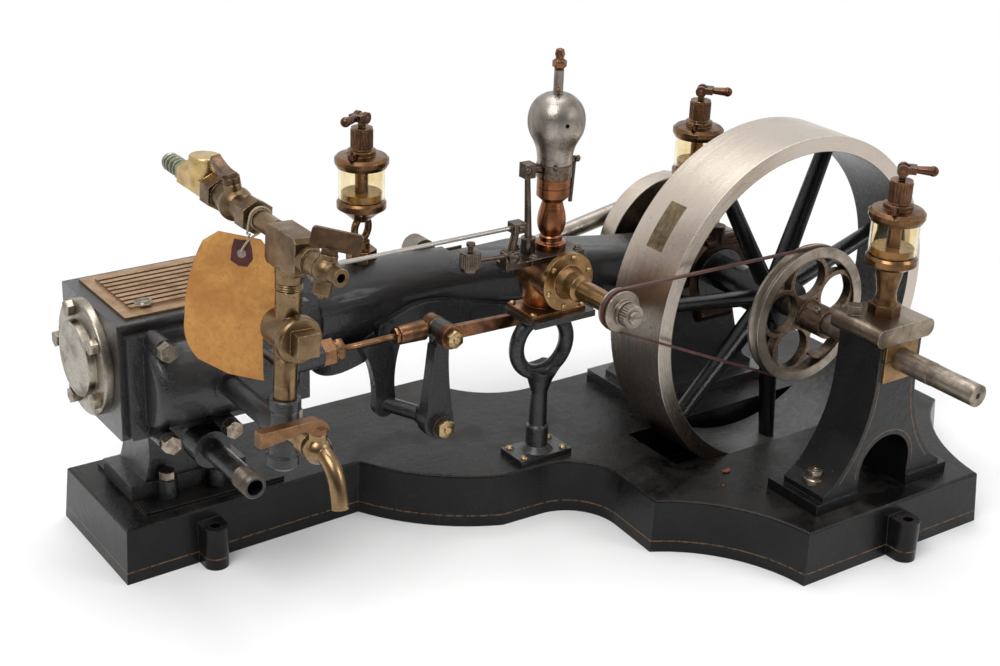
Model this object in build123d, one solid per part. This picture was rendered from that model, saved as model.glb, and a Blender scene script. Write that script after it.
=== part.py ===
"""A model stationary steam engine, built in millimetres.

X runs along the engine from the cylinder (minus) to the crank (plus), Y runs from
the outboard bearing (minus) to the cylinder's side (plus), and Z is up. The origin
is on the bed's underside, under the middle of the main bearing.
"""

import math
import os

from build123d import *

os.makedirs("parts", exist_ok=True)

# Clearances.
running_gap = 0.08
touch_gap = 0.3

# Main heights and centre lines.
bed_h = 38.7
bed_draft = 4.0
shaft_z = 142.2
cyl_y = 57.0

# Crankshaft: radii and stations along Y.
shaft_r = 8.0
drive_r = 7.7
drive_len = 38.0
shaft_end = -283.0
disc_front = 30.0
disc_back = 45.0
disc_r = 56.0
crank_throw = 40.0
crank_angle = 57.5
wheel_r = 127.1
wheel_in_r = 115.9
wheel_y0 = -115.0
wheel_y1 = -62.3
belt_y = -125.0
ecc_y = -29.0

# Bearing pedestals.
main_y0 = -18.0
main_y1 = 24.0
out_y0 = -215.0
out_y1 = -177.0
brass_half = 15.0
brass_drop = 15.2
cap_z = 155.0
cap_h = 13.0

# Cylinder and steam chest.
cyl_x0 = -461.0
cyl_x1 = -330.0
cyl_half = 43.5
block_y1 = 103.0
cyl_z0 = 98.2
cyl_z1 = 179.0
pad_z = 41.2
foot_z = 53.0
cover_r = 39.2
chest_y = 13.5
casing_r = 30.0
casing_x0 = -447.0
casing_x1 = -346.0

# Pipework.
pipe_r = 7.3
pipe_bore = 5.4
riser_x = -400.0
riser_y = -90.0
inlet_z = 137.0
valve_mid = 201.5
valve_half = 14.5
valve_z0 = valve_mid - valve_half
valve_z1 = valve_mid + valve_half
throat_z1 = valve_z1 + 17
block_h = 24.0
block_z0 = throat_z1 + 8.5
block_z1 = block_z0 + block_h
block_half_x = 8.0
block_front = -110.0
block_back = -74.0
cock_y = -20.0
cock_z = block_z0 + 17.5
pipe_lean = 3.0

# Girder frame and crosshead.
trunk_bore = 22.0
trunk_x1 = -190.0
girder_x1 = -27.5
head_x = -178.0

# Valve gear.
valve_y = -10.0
valve_z = 140.0
rock_x = -240.0
rock_z = 71.0
rod_r = 2.2

# Cut-off spindle in the steam chest, worked by the governor's long rod.
cut_x = -381.0
cut_z = 160.0

# Governor.
gov_x = -172.0
gov_y = -42.5
table_z = 149.0
table_t = 4.5
gov_pulley_z = 181.0
deck_z = 192.0
deck_t = 4.0
spindle_x = -169.0
spindle_r = 3.5
collar_z = 256.6


def box(x0, x1, y0, y1, z0, z1):
    """A box between two corners."""
    shape = Box(x1 - x0, y1 - y0, z1 - z0)
    return Pos((x0 + x1) / 2, (y0 + y1) / 2, (z0 + z1) / 2) * shape


def as_part(solid):
    """A single solid as a part that can be joined and cut."""
    return Part(Compound([solid]).wrapped)


def rod(a, b, r, r2=None):
    """A round bar, or a cone, from one point to another."""
    start = Vector(*a)
    line = Vector(*b) - start
    plane = Plane(origin=start, z_dir=line)
    if r2 is None:
        solid = Solid.make_cylinder(r, line.length, plane)
    else:
        solid = Solid.make_cone(r, r2, line.length, plane)
    return as_part(solid)


def along_z(x, y, z0, z1, r, r2=None):
    """A round bar along Z."""
    return rod((x, y, z0), (x, y, z1), r, r2)


def along_y(x, z, y0, y1, r, r2=None):
    """A round bar along Y."""
    return rod((x, y0, z), (x, y1, z), r, r2)


def along_x(y, z, x0, x1, r, r2=None):
    """A round bar along X."""
    return rod((x0, y, z), (x1, y, z), r, r2)


def outline(runs, lift):
    """A closed face from runs of points: two points make a line, three an arc."""
    edges = []
    for run in runs:
        pts = [Vector(*lift(*p)) for p in run]
        if len(pts) == 2:
            edges.append(Edge.make_line(*pts))
        else:
            edges.append(Edge.make_three_point_arc(*pts))
    return Face(Wire(edges))


def pushed(face, push):
    """A flat face pushed along a vector."""
    return as_part(Solid.extrude(face, Vector(*push)))


def slab(points, push):
    """A straight-sided outline given in space, pushed along a vector."""
    wire = Wire.make_polygon([Vector(*p) for p in points], close=True)
    return pushed(Face(wire), push)


def turned(x, y, profile):
    """A body turned about a vertical axis from (radius, height) pairs."""
    pts = [Vector(x + r, y, z) for r, z in profile]
    face = Face(Wire.make_polygon(pts, close=True))
    return as_part(Solid.revolve(face, 360, Axis((x, y, 0), (0, 0, 1))))


def turned_y(x, z, profile):
    """A body turned about an axis along Y from (radius, y) pairs."""
    pts = [Vector(x + r, y, z) for r, y in profile]
    face = Face(Wire.make_polygon(pts, close=True))
    return as_part(Solid.revolve(face, 360, Axis((x, 0, z), (0, 1, 0))))


def turned_curve(x, y, low, curve, high):
    """A solid body turned about a vertical axis, with a smooth side through points."""
    pts = [Vector(x + r, y, z) for r, z in curve]
    side = Edge.make_spline(pts)
    rest = [Vector(x + curve[-1][0], y, high), Vector(x, y, high), Vector(x, y, low), Vector(x + curve[0][0], y, low)]
    path = [p for p in [pts[-1]] + rest + [pts[0]]]
    lines = [Edge.make_line(a, b) for a, b in zip(path, path[1:]) if (b - a).length > 1e-6]
    return as_part(Solid.revolve(Face(Wire([side] + lines)), 360, Axis((x, y, 0), (0, 0, 1))))


def hexagon(a, b, flats, sides=6):
    """A bar with flat sides from one point to another, by its width over flats."""
    start = Vector(*a)
    line = Vector(*b) - start
    plane = Plane(origin=start, z_dir=line)
    face = (plane * RegularPolygon(flats / 2, sides, major_radius=False)).face()
    return pushed(face, face.normal_at() * line.length)


def leaned(shape, angle=pipe_lean):
    """A piece of the pipework turned with its tee about the inlet pipe's axis."""
    return shape.rotate(Axis((riser_x, 0, inlet_z), (0, 1, 0)), angle)


def save(shape, name):
    """Write one node."""
    export_step(shape, f"parts/{name}.step")


# Bed: a low drafted casting, narrow under the cylinder and wide under the shaft,
# with scooped corners, a pit for the flywheel and four round bolt lugs.
bed_x0 = -468.0
bed_x1 = 155.0
bed_front = -233.0
bed_back = 52.0
bed_edge = 1.6
bed_runs = [
    [(bed_x0, 2), (-290, 8)],
    [(-290, 8), (-262.5, -28.5), (-212, -61)],
    [(-212, -61), (-180, -62)],
    [(-180, -62), (-154, -73), (-143, -100)],
    [(-143, -100), (-146, -144)],
    [(-146, -144), (-103, -182), (-85, bed_front)],
    [(-85, bed_front), (86, bed_front)],
    [(86, bed_front), (105, -179), (bed_x1, -131)],
    [(bed_x1, -131), (bed_x1, bed_back)],
    [(bed_x1, bed_back), (-114, bed_back)],
    [(-114, bed_back), (-154, 68), (-172, 107)],
    [(-172, 107), (bed_x0, 109)],
    [(bed_x0, 109), (bed_x0, 2)],
]
bed = extrude(outline(bed_runs, lambda x, y: (x, y, 0)), bed_h - bed_edge, dir=(0, 0, 1), taper=bed_draft)
for height, slope in ((0.6 * bed_edge, 22), (0.4 * bed_edge, 58)):
    bed += extrude(bed.faces().sort_by(Axis.Z)[-1], height, dir=(0, 0, 1), taper=slope)
pit_x0 = -96.0
pit_x1 = 77.0
bed -= box(pit_x0, pit_x1, wheel_y0 - 1, wheel_y1 + 8.3, -1, bed_h + 1)
bed += box(-447, -345, 15, 97, bed_h - 1, pad_z)
lug_r = 8.5
lug_h = 30.0
lug_hole_r = 3.6
lugs = [(-407, -4, 1), (2, bed_front - 8, 1), (-407, 117, -1), (2, bed_back + 8, -1)]
for x, y, side in lugs:
    bed += along_z(x, y, 0, lug_h, lug_r)
    bed += box(x - lug_r, x + lug_r, min(y, y + 17 * side), max(y, y + 17 * side), 0, lug_h)
for x, y, side in lugs:
    bed -= along_z(x, y, -1, lug_h + 1, lug_hole_r)
save(bed, "bedplate")

# Cylinder block with its waisted neck and foot; nothing opens the bore, so it is solid.
block = box(cyl_x0, cyl_x1, cyl_y - cyl_half, block_y1, cyl_z0, cyl_z1)
block = fillet(block.edges().filter_by(Axis.X), 2.5)
neck_x0 = -438.0
neck_x1 = -376.0
neck_half = 21.0
foot_half = 23.5
waist = 4.0
mid_z = (foot_z + cyl_z0) / 2
neck_runs = [
    [(neck_x0, foot_z), (neck_x1, foot_z)],
    [(neck_x1, foot_z), (neck_x1 - waist, mid_z), (neck_x1, cyl_z0 + 1)],
    [(neck_x1, cyl_z0 + 1), (neck_x0, cyl_z0 + 1)],
    [(neck_x0, cyl_z0 + 1), (neck_x0 + waist, mid_z), (neck_x0, foot_z)],
]
neck = pushed(outline(neck_runs, lambda x, z: (x, cyl_y - neck_half, z)), (0, 2 * neck_half, 0))
block += neck
block += box(-449, -365, cyl_y - foot_half, cyl_y + foot_half, pad_z, foot_z)
foot_bolts = []
for x in (-425, -389):
    for side in (-1, 1):
        y = cyl_y + side * (foot_half + 4)
        block += along_z(x, y, pad_z, foot_z + 2, 7)
        block += box(x - 7, x + 7, min(y, cyl_y), max(y, cyl_y), pad_z, foot_z)
        foot_bolts.append(hexagon((x, y, foot_z + 2), (x, y, foot_z + 8), 10))
save(block, "cylinder_block")

# Cylinder cover with a raised boss and its five bolts.
cover_t = 6.0
boss_t = 5.0
cover_y = 61.0
cover_z = 141.0
bolt_pitch = 33.0
cover = along_x(cover_y, cover_z, cyl_x0, cyl_x0 - cover_t, cover_r)
cover = fillet(cover.edges().sort_by(Axis.X)[0], 1.5)
cover += along_x(cover_y, cover_z, cyl_x0 - cover_t, cyl_x0 - cover_t - boss_t, 25.8, 25.0)
save(cover, "cylinder_cover")
cover_bolts = []
for k in range(5):
    a = math.radians(2 + 72 * k)
    y = cover_y + bolt_pitch * math.cos(a)
    z = cover_z + bolt_pitch * math.sin(a)
    cover_bolts.append(hexagon((cyl_x0 - cover_t, y, z), (cyl_x0 - cover_t - 5, y, z), 9.6))

# Ribbed lagging plate on top of the block.
lag_x0 = -452.0
lag_x1 = -345.0
lag_t = 1.5
rib_pitch = 6.6
rib_w = 3.6
lag = box(lag_x0, lag_x1, cyl_y - 36.5, cyl_y + 39, cyl_z1, cyl_z1 + lag_t)
for k in range(9):
    y = cyl_y - 24 + rib_pitch * k
    lag += box(lag_x0 + 8, lag_x1 - 5, y - rib_w / 2, y + rib_w / 2, cyl_z1 + lag_t - 0.5, cyl_z1 + 3.2)
save(lag, "lagging_plate")

# Steam chest: flange plate, bulged casing, bolt bosses, exhaust boss and inlet boss.
flange_t = 7.0
plate_top = 172.0
plate_low = 101.0
casing_front = chest_y - 2 - casing_r
chest = box(-457, cyl_x1 + 1, chest_y - flange_t, chest_y, plate_low, plate_top)
casing = along_x(chest_y - 2, 136, casing_x0, casing_x1, casing_r)
casing = fillet(casing.edges(), 7)
casing &= box(cyl_x0, cyl_x1, chest_y - 60, chest_y - flange_t + 2, plate_low, plate_top - 1)
chest += casing
inlet_face = casing_front - 2
chest += along_y(riser_x, inlet_z, inlet_face, chest_y - 20, 11)
bolt_face = chest_y - 24
chest_bolt_at = [(-440, 168), (-440, 104), (-397, 104), (-353, 168), (-353, 104)]
for x, z in chest_bolt_at:
    chest += along_y(x, z, bolt_face, chest_y - 5, 6.5)
exhaust_x = -408.0
exhaust_z = 88.0
exhaust_face = chest_y - 20
chest += along_y(exhaust_x, exhaust_z, exhaust_face, chest_y - 2, 13)
chest += box(exhaust_x - 13, exhaust_x + 13, chest_y - 14, chest_y, exhaust_z, plate_low + 3)
chest += along_y(cut_x, cut_z, casing_front - 5, chest_y - 10, 6)
gland_x = -331.0
chest += along_x(valve_y, valve_z, casing_x1 - 6, gland_x, 9)
save(chest, "steam_chest")
chest_bolts = []
for x, z in chest_bolt_at:
    chest_bolts.append(hexagon((x, bolt_face, z), (x, bolt_face - 7, z), 11))
save(Compound(children=foot_bolts + cover_bolts + chest_bolts), "cylinder_bolts")

# Exhaust pipe, open at its threaded end.
exhaust_end = -66.0
exhaust = along_y(exhaust_x, exhaust_z, exhaust_face, exhaust_end, pipe_r)
exhaust -= along_y(exhaust_x, exhaust_z, exhaust_end + 30, exhaust_end - 1, pipe_bore)
save(exhaust, "exhaust_pipe")

# Inlet pipe and black tee under the riser.
tee_r = 10.0
tee_z0 = inlet_z - 24
tee_z1 = inlet_z + 22
tee = along_y(riser_x, inlet_z, inlet_face, riser_y, pipe_r)
tee += turned(riser_x, riser_y, [(0, tee_z0 + 2), (8, tee_z0), (tee_r, tee_z0 + 2), (tee_r, tee_z0 + 8),
                                 (9, tee_z0 + 10), (9, tee_z1 - 9), (tee_r, tee_z1 - 7), (tee_r, tee_z1 - 1),
                                 (9, tee_z1), (0, tee_z1)])
tee += along_y(riser_x, inlet_z, riser_y, riser_y + 15, 9.3)
tee = leaned(tee)
save(tee, "steam_tee")

# Brass riser with the throttle valve's round body between its two lengths.
riser = along_z(riser_x, riser_y, tee_z1, valve_z0, pipe_r)
valve_face = riser_y - 17.5
throttle = turned_y(riser_x, valve_mid, [(0, riser_y + 13), (11, riser_y + 13), (12, riser_y + 11),
                                         (12, valve_face + 7.5), (14.5, valve_face + 6), (14.5, valve_face + 1.5),
                                         (13.5, valve_face), (0, valve_face)])
throttle += along_z(riser_x, riser_y, valve_z0, valve_z1, 8)
plug_half = 7.3
throttle += box(riser_x - plug_half, riser_x + plug_half, valve_face - 9, valve_face, valve_mid - plug_half,
                valve_mid + plug_half)
throttle += along_z(riser_x, riser_y, valve_z1, valve_z1 + 12, 8)
throttle = leaned(throttle)
save(throttle, "throttle_valve_body")
throat = along_z(riser_x, riser_y, valve_z1 + 12, throat_z1, 7.5)
save(Compound(children=[leaned(riser), leaned(throat)]), "steam_riser")

# Pipe block: a square bar on a round neck.
pblock = box(riser_x - block_half_x, riser_x + block_half_x, block_front, block_back, block_z0, block_z1)
pblock = chamfer(pblock.edges().filter_by(Axis.X), 2.5)
pblock += along_z(riser_x, riser_y, throat_z1, block_z0 + 0.5, 8.2, 9)
pblock = leaned(pblock)
save(pblock, "pipe_block")

# Petcock on the block's front face, turned a little to the right; the plug that its
# paddle turns leans to the same side.
pet_z = block_z0 + 11.5
pet_yaw = 5.0
pet_lean = 10.0
pet_plug_r = 2.5
pet_dir = Vector(math.sin(math.radians(pet_yaw)), -math.cos(math.radians(pet_yaw)), 0)
pet_axis = Vector(math.sin(math.radians(pet_lean)), 0, math.cos(math.radians(pet_lean)))
pet_face = Vector(riser_x, block_front, pet_z)
pet_ball = pet_face + pet_dir * 19
pet = rod(pet_face - pet_dir * 2, pet_face + pet_dir * 5, 8.2)
pet &= box(riser_x - 30, riser_x + 30, riser_y - 60, block_front, 200, 300)
pet += rod(pet_face + pet_dir * 4, pet_face + pet_dir * 15, 7)
pet += Pos(*pet_ball) * Sphere(8.3)
pet += rod(pet_face + pet_dir * 19, pet_face + pet_dir * 28, 7.5, 4.8)
pet += rod(pet_face + pet_dir * 27, pet_face + pet_dir * 34, 5.4)
pet += rod(pet_ball - pet_axis * 13.5, pet_ball, 5.6)
pet += rod(pet_ball, pet_ball + pet_axis * 9.5, 5.4)
pet -= rod(pet_face + pet_dir * 24.5, pet_face + pet_dir * 35, 2.8)
pet -= rod(pet_ball + pet_axis * 1, pet_ball + pet_axis * 10.5, pet_plug_r + running_gap)
pet = leaned(pet)
save(pet, "petcock")
paddle_turn = -35.0
paddle_l = 29.5
paddle_h = 12.0
paddle_t = 3.0
paddle_plane = Plane(origin=pet_ball, z_dir=pet_axis, x_dir=(math.cos(math.radians(pet_lean)), 0,
                                                             -math.sin(math.radians(pet_lean))))
pet_lever = rod(pet_ball + pet_axis * 2, pet_ball + pet_axis * 11, pet_plug_r)
pet_lever += rod(pet_ball + pet_axis * (9.5 + touch_gap), pet_ball + pet_axis * 12.5, 4.8)
paddle = Pos(2.5, 0, 12 + paddle_h / 2) * Box(paddle_l, paddle_t, paddle_h)
paddle = fillet(paddle.edges().filter_by(Axis.Y), 2.5)
pet_lever += paddle_plane * Rot(0, 0, paddle_turn) * paddle
pet_lever = leaned(pet_lever)
save(pet_lever, "petcock_lever")

# Steam cock in the pipe that runs back over the cylinder.
cock_plug_r = 3.0
cock_lean = -12.0
stem_z = cock_z + 14
hex_y0 = cock_y - 29
hex_y1 = cock_y + 29.5
cock = along_y(riser_x, cock_z, block_back, cock_y - 12, 6.3)
cock += hexagon((riser_x, hex_y0, cock_z), (riser_x, hex_y0 + 11, cock_z), 19.5)
cock += hexagon((riser_x, hex_y1 - 12, cock_z), (riser_x, hex_y1, cock_z), 19.5)
cock += along_y(riser_x, cock_z, cock_y - 19, cock_y + 18, 8.2)
cock += Pos(riser_x, cock_y, cock_z) * Sphere(11)
stem = along_z(riser_x, cock_y, cock_z, stem_z, 5.5)
stem_hole = along_z(riser_x, cock_y, cock_z + 3, stem_z + 1, cock_plug_r + running_gap)
stem_axis = Axis((riser_x, 0, cock_z), (0, 1, 0))
cock += stem.rotate(stem_axis, cock_lean)
cock -= stem_hole.rotate(stem_axis, cock_lean)
cock = leaned(cock)
save(cock, "steam_cock")
cock_lever = along_z(riser_x, cock_y, cock_z + 4, stem_z + 2, cock_plug_r)
cock_lever += along_z(riser_x, cock_y, stem_z + touch_gap, stem_z + 4, 5.5)
bar_runs = [
    [(cock_y - 4, stem_z + 2), (cock_y + 6, stem_z + 2)],
    [(cock_y + 6, stem_z + 2), (cock_y + 13, stem_z + 4), (cock_y + 20, stem_z + 10)],
    [(cock_y + 20, stem_z + 10), (cock_y + 17, stem_z + 13)],
    [(cock_y + 17, stem_z + 13), (cock_y + 7, stem_z + 8), (cock_y - 4, stem_z + 7)],
    [(cock_y - 4, stem_z + 7), (cock_y - 4, stem_z + 2)],
]
cock_lever += pushed(outline(bar_runs, lambda y, z: (riser_x - 3, y, z)), (6, 0, 0))
cock_lever = leaned(cock_lever.rotate(stem_axis, cock_lean))
save(cock_lever, "steam_cock_lever")

# Check valve: hexagonal bright brass body with a round cap and an end nipple.
check_end = hex_y1 + 36.5
check = hexagon((riser_x, hex_y1, cock_z), (riser_x, check_end, cock_z), 16.5)
check += along_z(riser_x, hex_y1 + 13, cock_z, cock_z + 17.5, 9.8)
check += along_y(riser_x, cock_z, check_end, check_end + 6, 6.2, 5.2)
check += along_y(riser_x, cock_z, check_end + 6, check_end + 27, 5.2)
check = leaned(check)
save(check, "check_valve")

# Drain cock on the tee: body, curved spout and lever.
drain_z = inlet_z + 1.7
drain_reach = 35.0
drain_yaw = 6.0
drain_plug_r = 3.0
drain_axis = Axis((riser_x, riser_y, 0), (0, 0, 1))
drain_y = riser_y - drain_reach
drain = along_y(riser_x, drain_z, riser_y - tee_r + 0.4, drain_y, 6)
drain -= along_z(riser_x, riser_y, tee_z0, tee_z1, tee_r)
drain += along_y(riser_x, drain_z, drain_y + 6, drain_y + 13, 8)
drain += Pos(riser_x, drain_y, drain_z) * Sphere(9)
spout_end = 25.0
spout_fall = 28.0
spout_r = 5.3
spout_path = Edge.make_spline([Vector(riser_x, drain_y, drain_z), Vector(riser_x, drain_y - 17, drain_z - 7),
                               Vector(riser_x, drain_y - spout_end, drain_z - spout_fall)],
                              tangents=[Vector(0, -1, 0), Vector(0, -0.2, -1)])
spout_start = Plane(origin=(riser_x, drain_y, drain_z), z_dir=(0, -1, 0))
drain += sweep((spout_start * Circle(spout_r)).face(), path=spout_path)
drain += along_z(riser_x, drain_y, drain_z, drain_z + 11, 5.5)
drain -= along_z(riser_x, drain_y, drain_z + 2, drain_z + 12, drain_plug_r + running_gap)
drain = leaned(drain.rotate(drain_axis, drain_yaw))
save(drain, "drain_cock")
lever_runs = [
    [(6, 13), (4, 17), (-2, 21)],
    [(-2, 21), (-42, 21.5)],
    [(-42, 21.5), (-42, 12)],
    [(-42, 12), (-14, 15)],
    [(-14, 15), (-8, 14.5), (-5, 13)],
    [(-5, 13), (6, 13)],
]
drain_lever = pushed(outline(lever_runs, lambda x, z: (riser_x + x, drain_y - 3.5, drain_z + z)), (0, 7, 0))
drain_lever += along_z(riser_x, drain_y, drain_z + 11 + touch_gap, drain_z + 15, 5.8)
drain_lever += along_z(riser_x, drain_y, drain_z + 3, drain_z + 13, drain_plug_r)
drain_lever = leaned(drain_lever.rotate(drain_axis, drain_yaw))
save(drain_lever, "drain_cock_lever")

# Girder frame: one smooth casting lofted from the round trunk guide to the square
# end on the main bearing, with a lip under its front edge.
stations = [
    (cyl_x1 + 18, cyl_y, 142.2, 56, 26),
    (-255, cyl_y, 142.2, 56, 26),
    (trunk_x1, 55, 141, 54, 22),
    (-120, 25, 146, 46, 14),
    (girder_x1, 3, 145, 40, 8),
]
girder_faces = []
for x, y, z, size, r in stations:
    plane = Plane(origin=(x, y, z), z_dir=(1, 0, 0))
    girder_faces.append(plane * RectangleRounded(size, size, r))
girder = loft(girder_faces)
girder += along_x(cyl_y, shaft_z, cyl_x1, cyl_x1 + 18, 40, 36)
girder += along_x(cyl_y, shaft_z, cyl_x1 + 18, cyl_x1 + 26, 32, 28)
lip_stations = [(cyl_x1 + 12, 26, 112, 132), (-255, 26, 113, 134), (-212, 24, 121, 141), (-185, 22, 120, 135),
                (-120, -1, 123, 132), (-75, -9, 123, 131.5), (girder_x1 - 3, -18, 123, 131)]
lip_faces = []
for x, y, z0, z1 in lip_stations:
    plane = Plane(origin=(x, y + 11, (z0 + z1) / 2), z_dir=(1, 0, 0), x_dir=(0, 1, 0))
    lip_faces.append(plane * Rectangle(22, z1 - z0))
girder += loft(lip_faces)
girder += along_y(-259, 128, 22, cyl_y - 22, 7)
oiler_x = -259.5
boss_top = 171.0
girder += along_z(oiler_x, cyl_y, shaft_z + 20, boss_top, 9)
girder -= along_x(cyl_y, shaft_z, cyl_x1 + 8, trunk_x1 + 22, trunk_bore)
girder -= box(-255, trunk_x1, cyl_y, cyl_y + 60, shaft_z - 8, shaft_z + 60)
girder -= box(trunk_x1 - 2, -90, cyl_y - 10, cyl_y + 60, shaft_z - 13, shaft_z + 60)
save(girder, "girder_frame")

# Piston rod, crosshead and connecting rod with the crank pin.
pin_x = crank_throw * math.cos(math.radians(crank_angle))
pin_z = shaft_z + crank_throw * math.sin(math.radians(crank_angle))
head_r = trunk_bore - touch_gap
wrist_r = 5.0
fork_half = 6.3
save(along_x(cyl_y, shaft_z, cyl_x1 + 8, head_x - 28, 5), "piston_rod")
crosshead = along_x(cyl_y, shaft_z, head_x - 28, head_x + 8, head_r)
crosshead &= box(head_x - 30, head_x + 10, cyl_y - 16, cyl_y + 16, shaft_z - 30, shaft_z + 30)
crosshead -= box(head_x - 12, head_x + 9, cyl_y - fork_half, cyl_y + fork_half, shaft_z - 25, shaft_z + 25)
crosshead += along_y(head_x, shaft_z, cyl_y - 15, cyl_y + 15, wrist_r)
crosshead += along_y(head_x - 24, shaft_z + 20, cyl_y + 8, cyl_y + 23, 10)
save(crosshead, "crosshead")
conrod = rod((head_x, cyl_y, shaft_z), (pin_x, cyl_y, pin_z), 5.5, 7.5)
conrod += along_y(head_x, shaft_z, cyl_y - 6, cyl_y + 6, 10)
conrod -= along_y(head_x, shaft_z, cyl_y - 7, cyl_y + 7, wrist_r + running_gap)
conrod += along_y(pin_x, pin_z, cyl_y - 8, cyl_y + 8, 14)
conrod += along_y(pin_x, pin_z, disc_back + touch_gap, cyl_y + 12, 6)
save(conrod, "connecting_rod")

# Valve rod with its gland nut and socket.
gland_x1 = gland_x + 9
save(hexagon((gland_x, valve_y, valve_z), (gland_x1, valve_y, valve_z), 17), "valve_rod_gland")
boss_r = 8.5
rock_y0 = -25.0
rock_y1 = -15.0
vrod = along_x(valve_y, valve_z, gland_x1, rock_x - 28, rod_r)
vrod += along_x(valve_y, valve_z, rock_x - 30, rock_x - 10, 6.5, 7.2)
vrod += along_x(valve_y, valve_z, rock_x - 12, rock_x - 4, 4.4)
vrod += along_y(rock_x, valve_z, rock_y1 + 0.5, valve_y + 6, boss_r)
save(vrod, "valve_rod")

# Rocker that the eccentric drives, on its cranked bracket under the girder.
arm_runs = [
    [(rock_x - 9, valve_z - 8), (rock_x - 12, 105), (rock_x - 15, rock_z + 8)],
    [(rock_x - 15, rock_z + 8), (rock_x - 3, rock_z - 9), (rock_x + 7, rock_z + 5)],
    [(rock_x + 7, rock_z + 5), (rock_x + 3, 105), (rock_x + 2, valve_z - 8)],
    [(rock_x + 2, valve_z - 8), (rock_x - 9, valve_z - 8)],
]
rocker = pushed(outline(arm_runs, lambda x, z: (x, rock_y0, z)), (0, rock_y1 - rock_y0, 0))
rocker += along_y(rock_x, valve_z, rock_y0, rock_y1, boss_r)
rocker += box(rock_x - 8, rock_x + 2, rock_y0, rock_y1, valve_z - 12, valve_z)
pivot_x = rock_x - 3
rocker += along_y(pivot_x, rock_z, rock_y0 - 3, rock_y1 + 4, boss_r)
rocker += hexagon((pivot_x, rock_y0 - 3, rock_z), (pivot_x, rock_y0 - 7, rock_z), 11)
save(rocker, "rocker_arm")
girder_under = 122.0
bracket_y = 17.0
leg_t = 6.8
leg_runs = [
    [(rock_x - 42, girder_under), (rock_x - 10, girder_under)],
    [(rock_x - 10, girder_under), (rock_x - 15, 100), (rock_x - 14, rock_z + 4)],
    [(rock_x - 14, rock_z + 4), (rock_x - 22, rock_z - 6), (rock_x - 31, rock_z + 4)],
    [(rock_x - 31, rock_z + 4), (rock_x - 33, 100), (rock_x - 42, girder_under)],
]
bracket = pushed(outline(leg_runs, lambda x, z: (x, bracket_y, z)), (0, leg_t, 0))
bracket += rod((rock_x - 23, bracket_y + 6, rock_z + 3), (pivot_x, rock_y1 + 8, rock_z), 5.5)
bracket += along_y(pivot_x, rock_z, rock_y1 + 4.3, rock_y1 + 13, boss_r)
save(bracket, "rocker_bracket")

# Eccentric: sheave on the shaft, strap round it, and the tapered rod to the rocker.
ecc_z = shaft_z - 4.0
ecc_r = 22.0
ecc_half = 5.0
strap = along_y(0, ecc_z, ecc_y - ecc_half, ecc_y + ecc_half, ecc_r + 8)
strap -= along_y(0, ecc_z, ecc_y - ecc_half - 1, ecc_y + ecc_half + 1, ecc_r + touch_gap)
rod_half = 2.3
strap += slab([(rock_x, ecc_y + rod_half, valve_z - 1.8), (-25, ecc_y + rod_half, ecc_z - 4),
               (-25, ecc_y + rod_half, ecc_z + 2), (rock_x, ecc_y + rod_half, valve_z + 7.7)], (0, -2 * rod_half, 0))
strap += along_y(rock_x, valve_z, ecc_y - 3, rock_y0, boss_r)
strap += hexagon((rock_x, ecc_y - 3, valve_z), (rock_x, ecc_y - 7, valve_z), 10)
for lug_z in (ecc_z + ecc_r + 4.5, ecc_z - ecc_r - 8.5):
    clamp = along_x(ecc_y, lug_z, -15, 16, 5.4)
    strap += clamp - along_y(0, ecc_z, ecc_y - 9, ecc_y + 9, ecc_r + 4)
strap += along_z(-2, ecc_y, ecc_z + ecc_r + 5, ecc_z + ecc_r + 18, 5.8)
save(strap, "eccentric_rod")
sheave = along_y(0, ecc_z, ecc_y - ecc_half - 1, ecc_y + ecc_half + 1, ecc_r)
sheave -= along_y(0, shaft_z, ecc_y - ecc_half - 2, ecc_y + ecc_half + 2, shaft_r + touch_gap)
save(sheave, "eccentric_sheave")

brasses = []
caps = []


def pedestal(y0, y1, half_top, foot_y0, foot_y1, arch, name):
    """A bearing pedestal with concave flanks, an arch, brasses and a cap."""
    side = [
        [(half_top, cap_z), (half_top, 125)],
        [(half_top, 125), (half_top + 8, 88), (48, 57)],
        [(48, 57), (57, 51)],
        [(57, 51), (57, bed_h + 3)],
    ]
    runs = side + [[(57, bed_h + 3), (-57, bed_h + 3)]]
    runs += [[(-x, z) for x, z in reversed(run)] for run in reversed(side)]
    runs += [[(-half_top, cap_z), (half_top, cap_z)]]
    body = pushed(outline(runs, lambda x, z: (x, y0, z)), (0, y1 - y0, 0))
    body += box(-63, 65, foot_y0, foot_y1, bed_h, bed_h + 8)
    if arch:
        body -= along_y(0, 60, y0 - 10, y1 + 10, arch)
        body -= box(-arch, arch, y0 - 10, y1 + 10, bed_h - 1, 60)
    body -= box(-brass_half, brass_half, y0 - 1, y1 + 1, shaft_z - brass_drop, cap_z + 1)
    save(body, name)
    brass = box(-brass_half, brass_half, y0 - 1.5, y1 + 1.5, shaft_z - brass_drop, cap_z)
    brass -= along_y(0, shaft_z, y0 - 5, y1 + 5, shaft_r + running_gap)
    brasses.append(brass)
    cap = box(-27, 27, y0 - 3, y1 + 3, cap_z, cap_z + cap_h)
    cap = fillet(cap.edges().filter_by(Axis.Y), 6)
    cap += hexagon((-17, y1 - 8, cap_z + cap_h), (-17, y1 - 8, cap_z + cap_h + 6), 9, 4)
    cap += hexagon((17, y1 - 8, cap_z + cap_h), (17, y1 - 8, cap_z + cap_h + 6), 9, 4)
    caps.append(cap)


pedestal(main_y0, main_y1, 27.5, -30, 39.4, 0, "main_bearing_pedestal")
pedestal(out_y0, out_y1, 19.5, out_y0 - 1, out_y1 + 9, 24, "outboard_bearing_pedestal")
save(Compound(children=brasses), "bearing_brasses")
save(Compound(children=caps), "bearing_caps")

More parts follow.
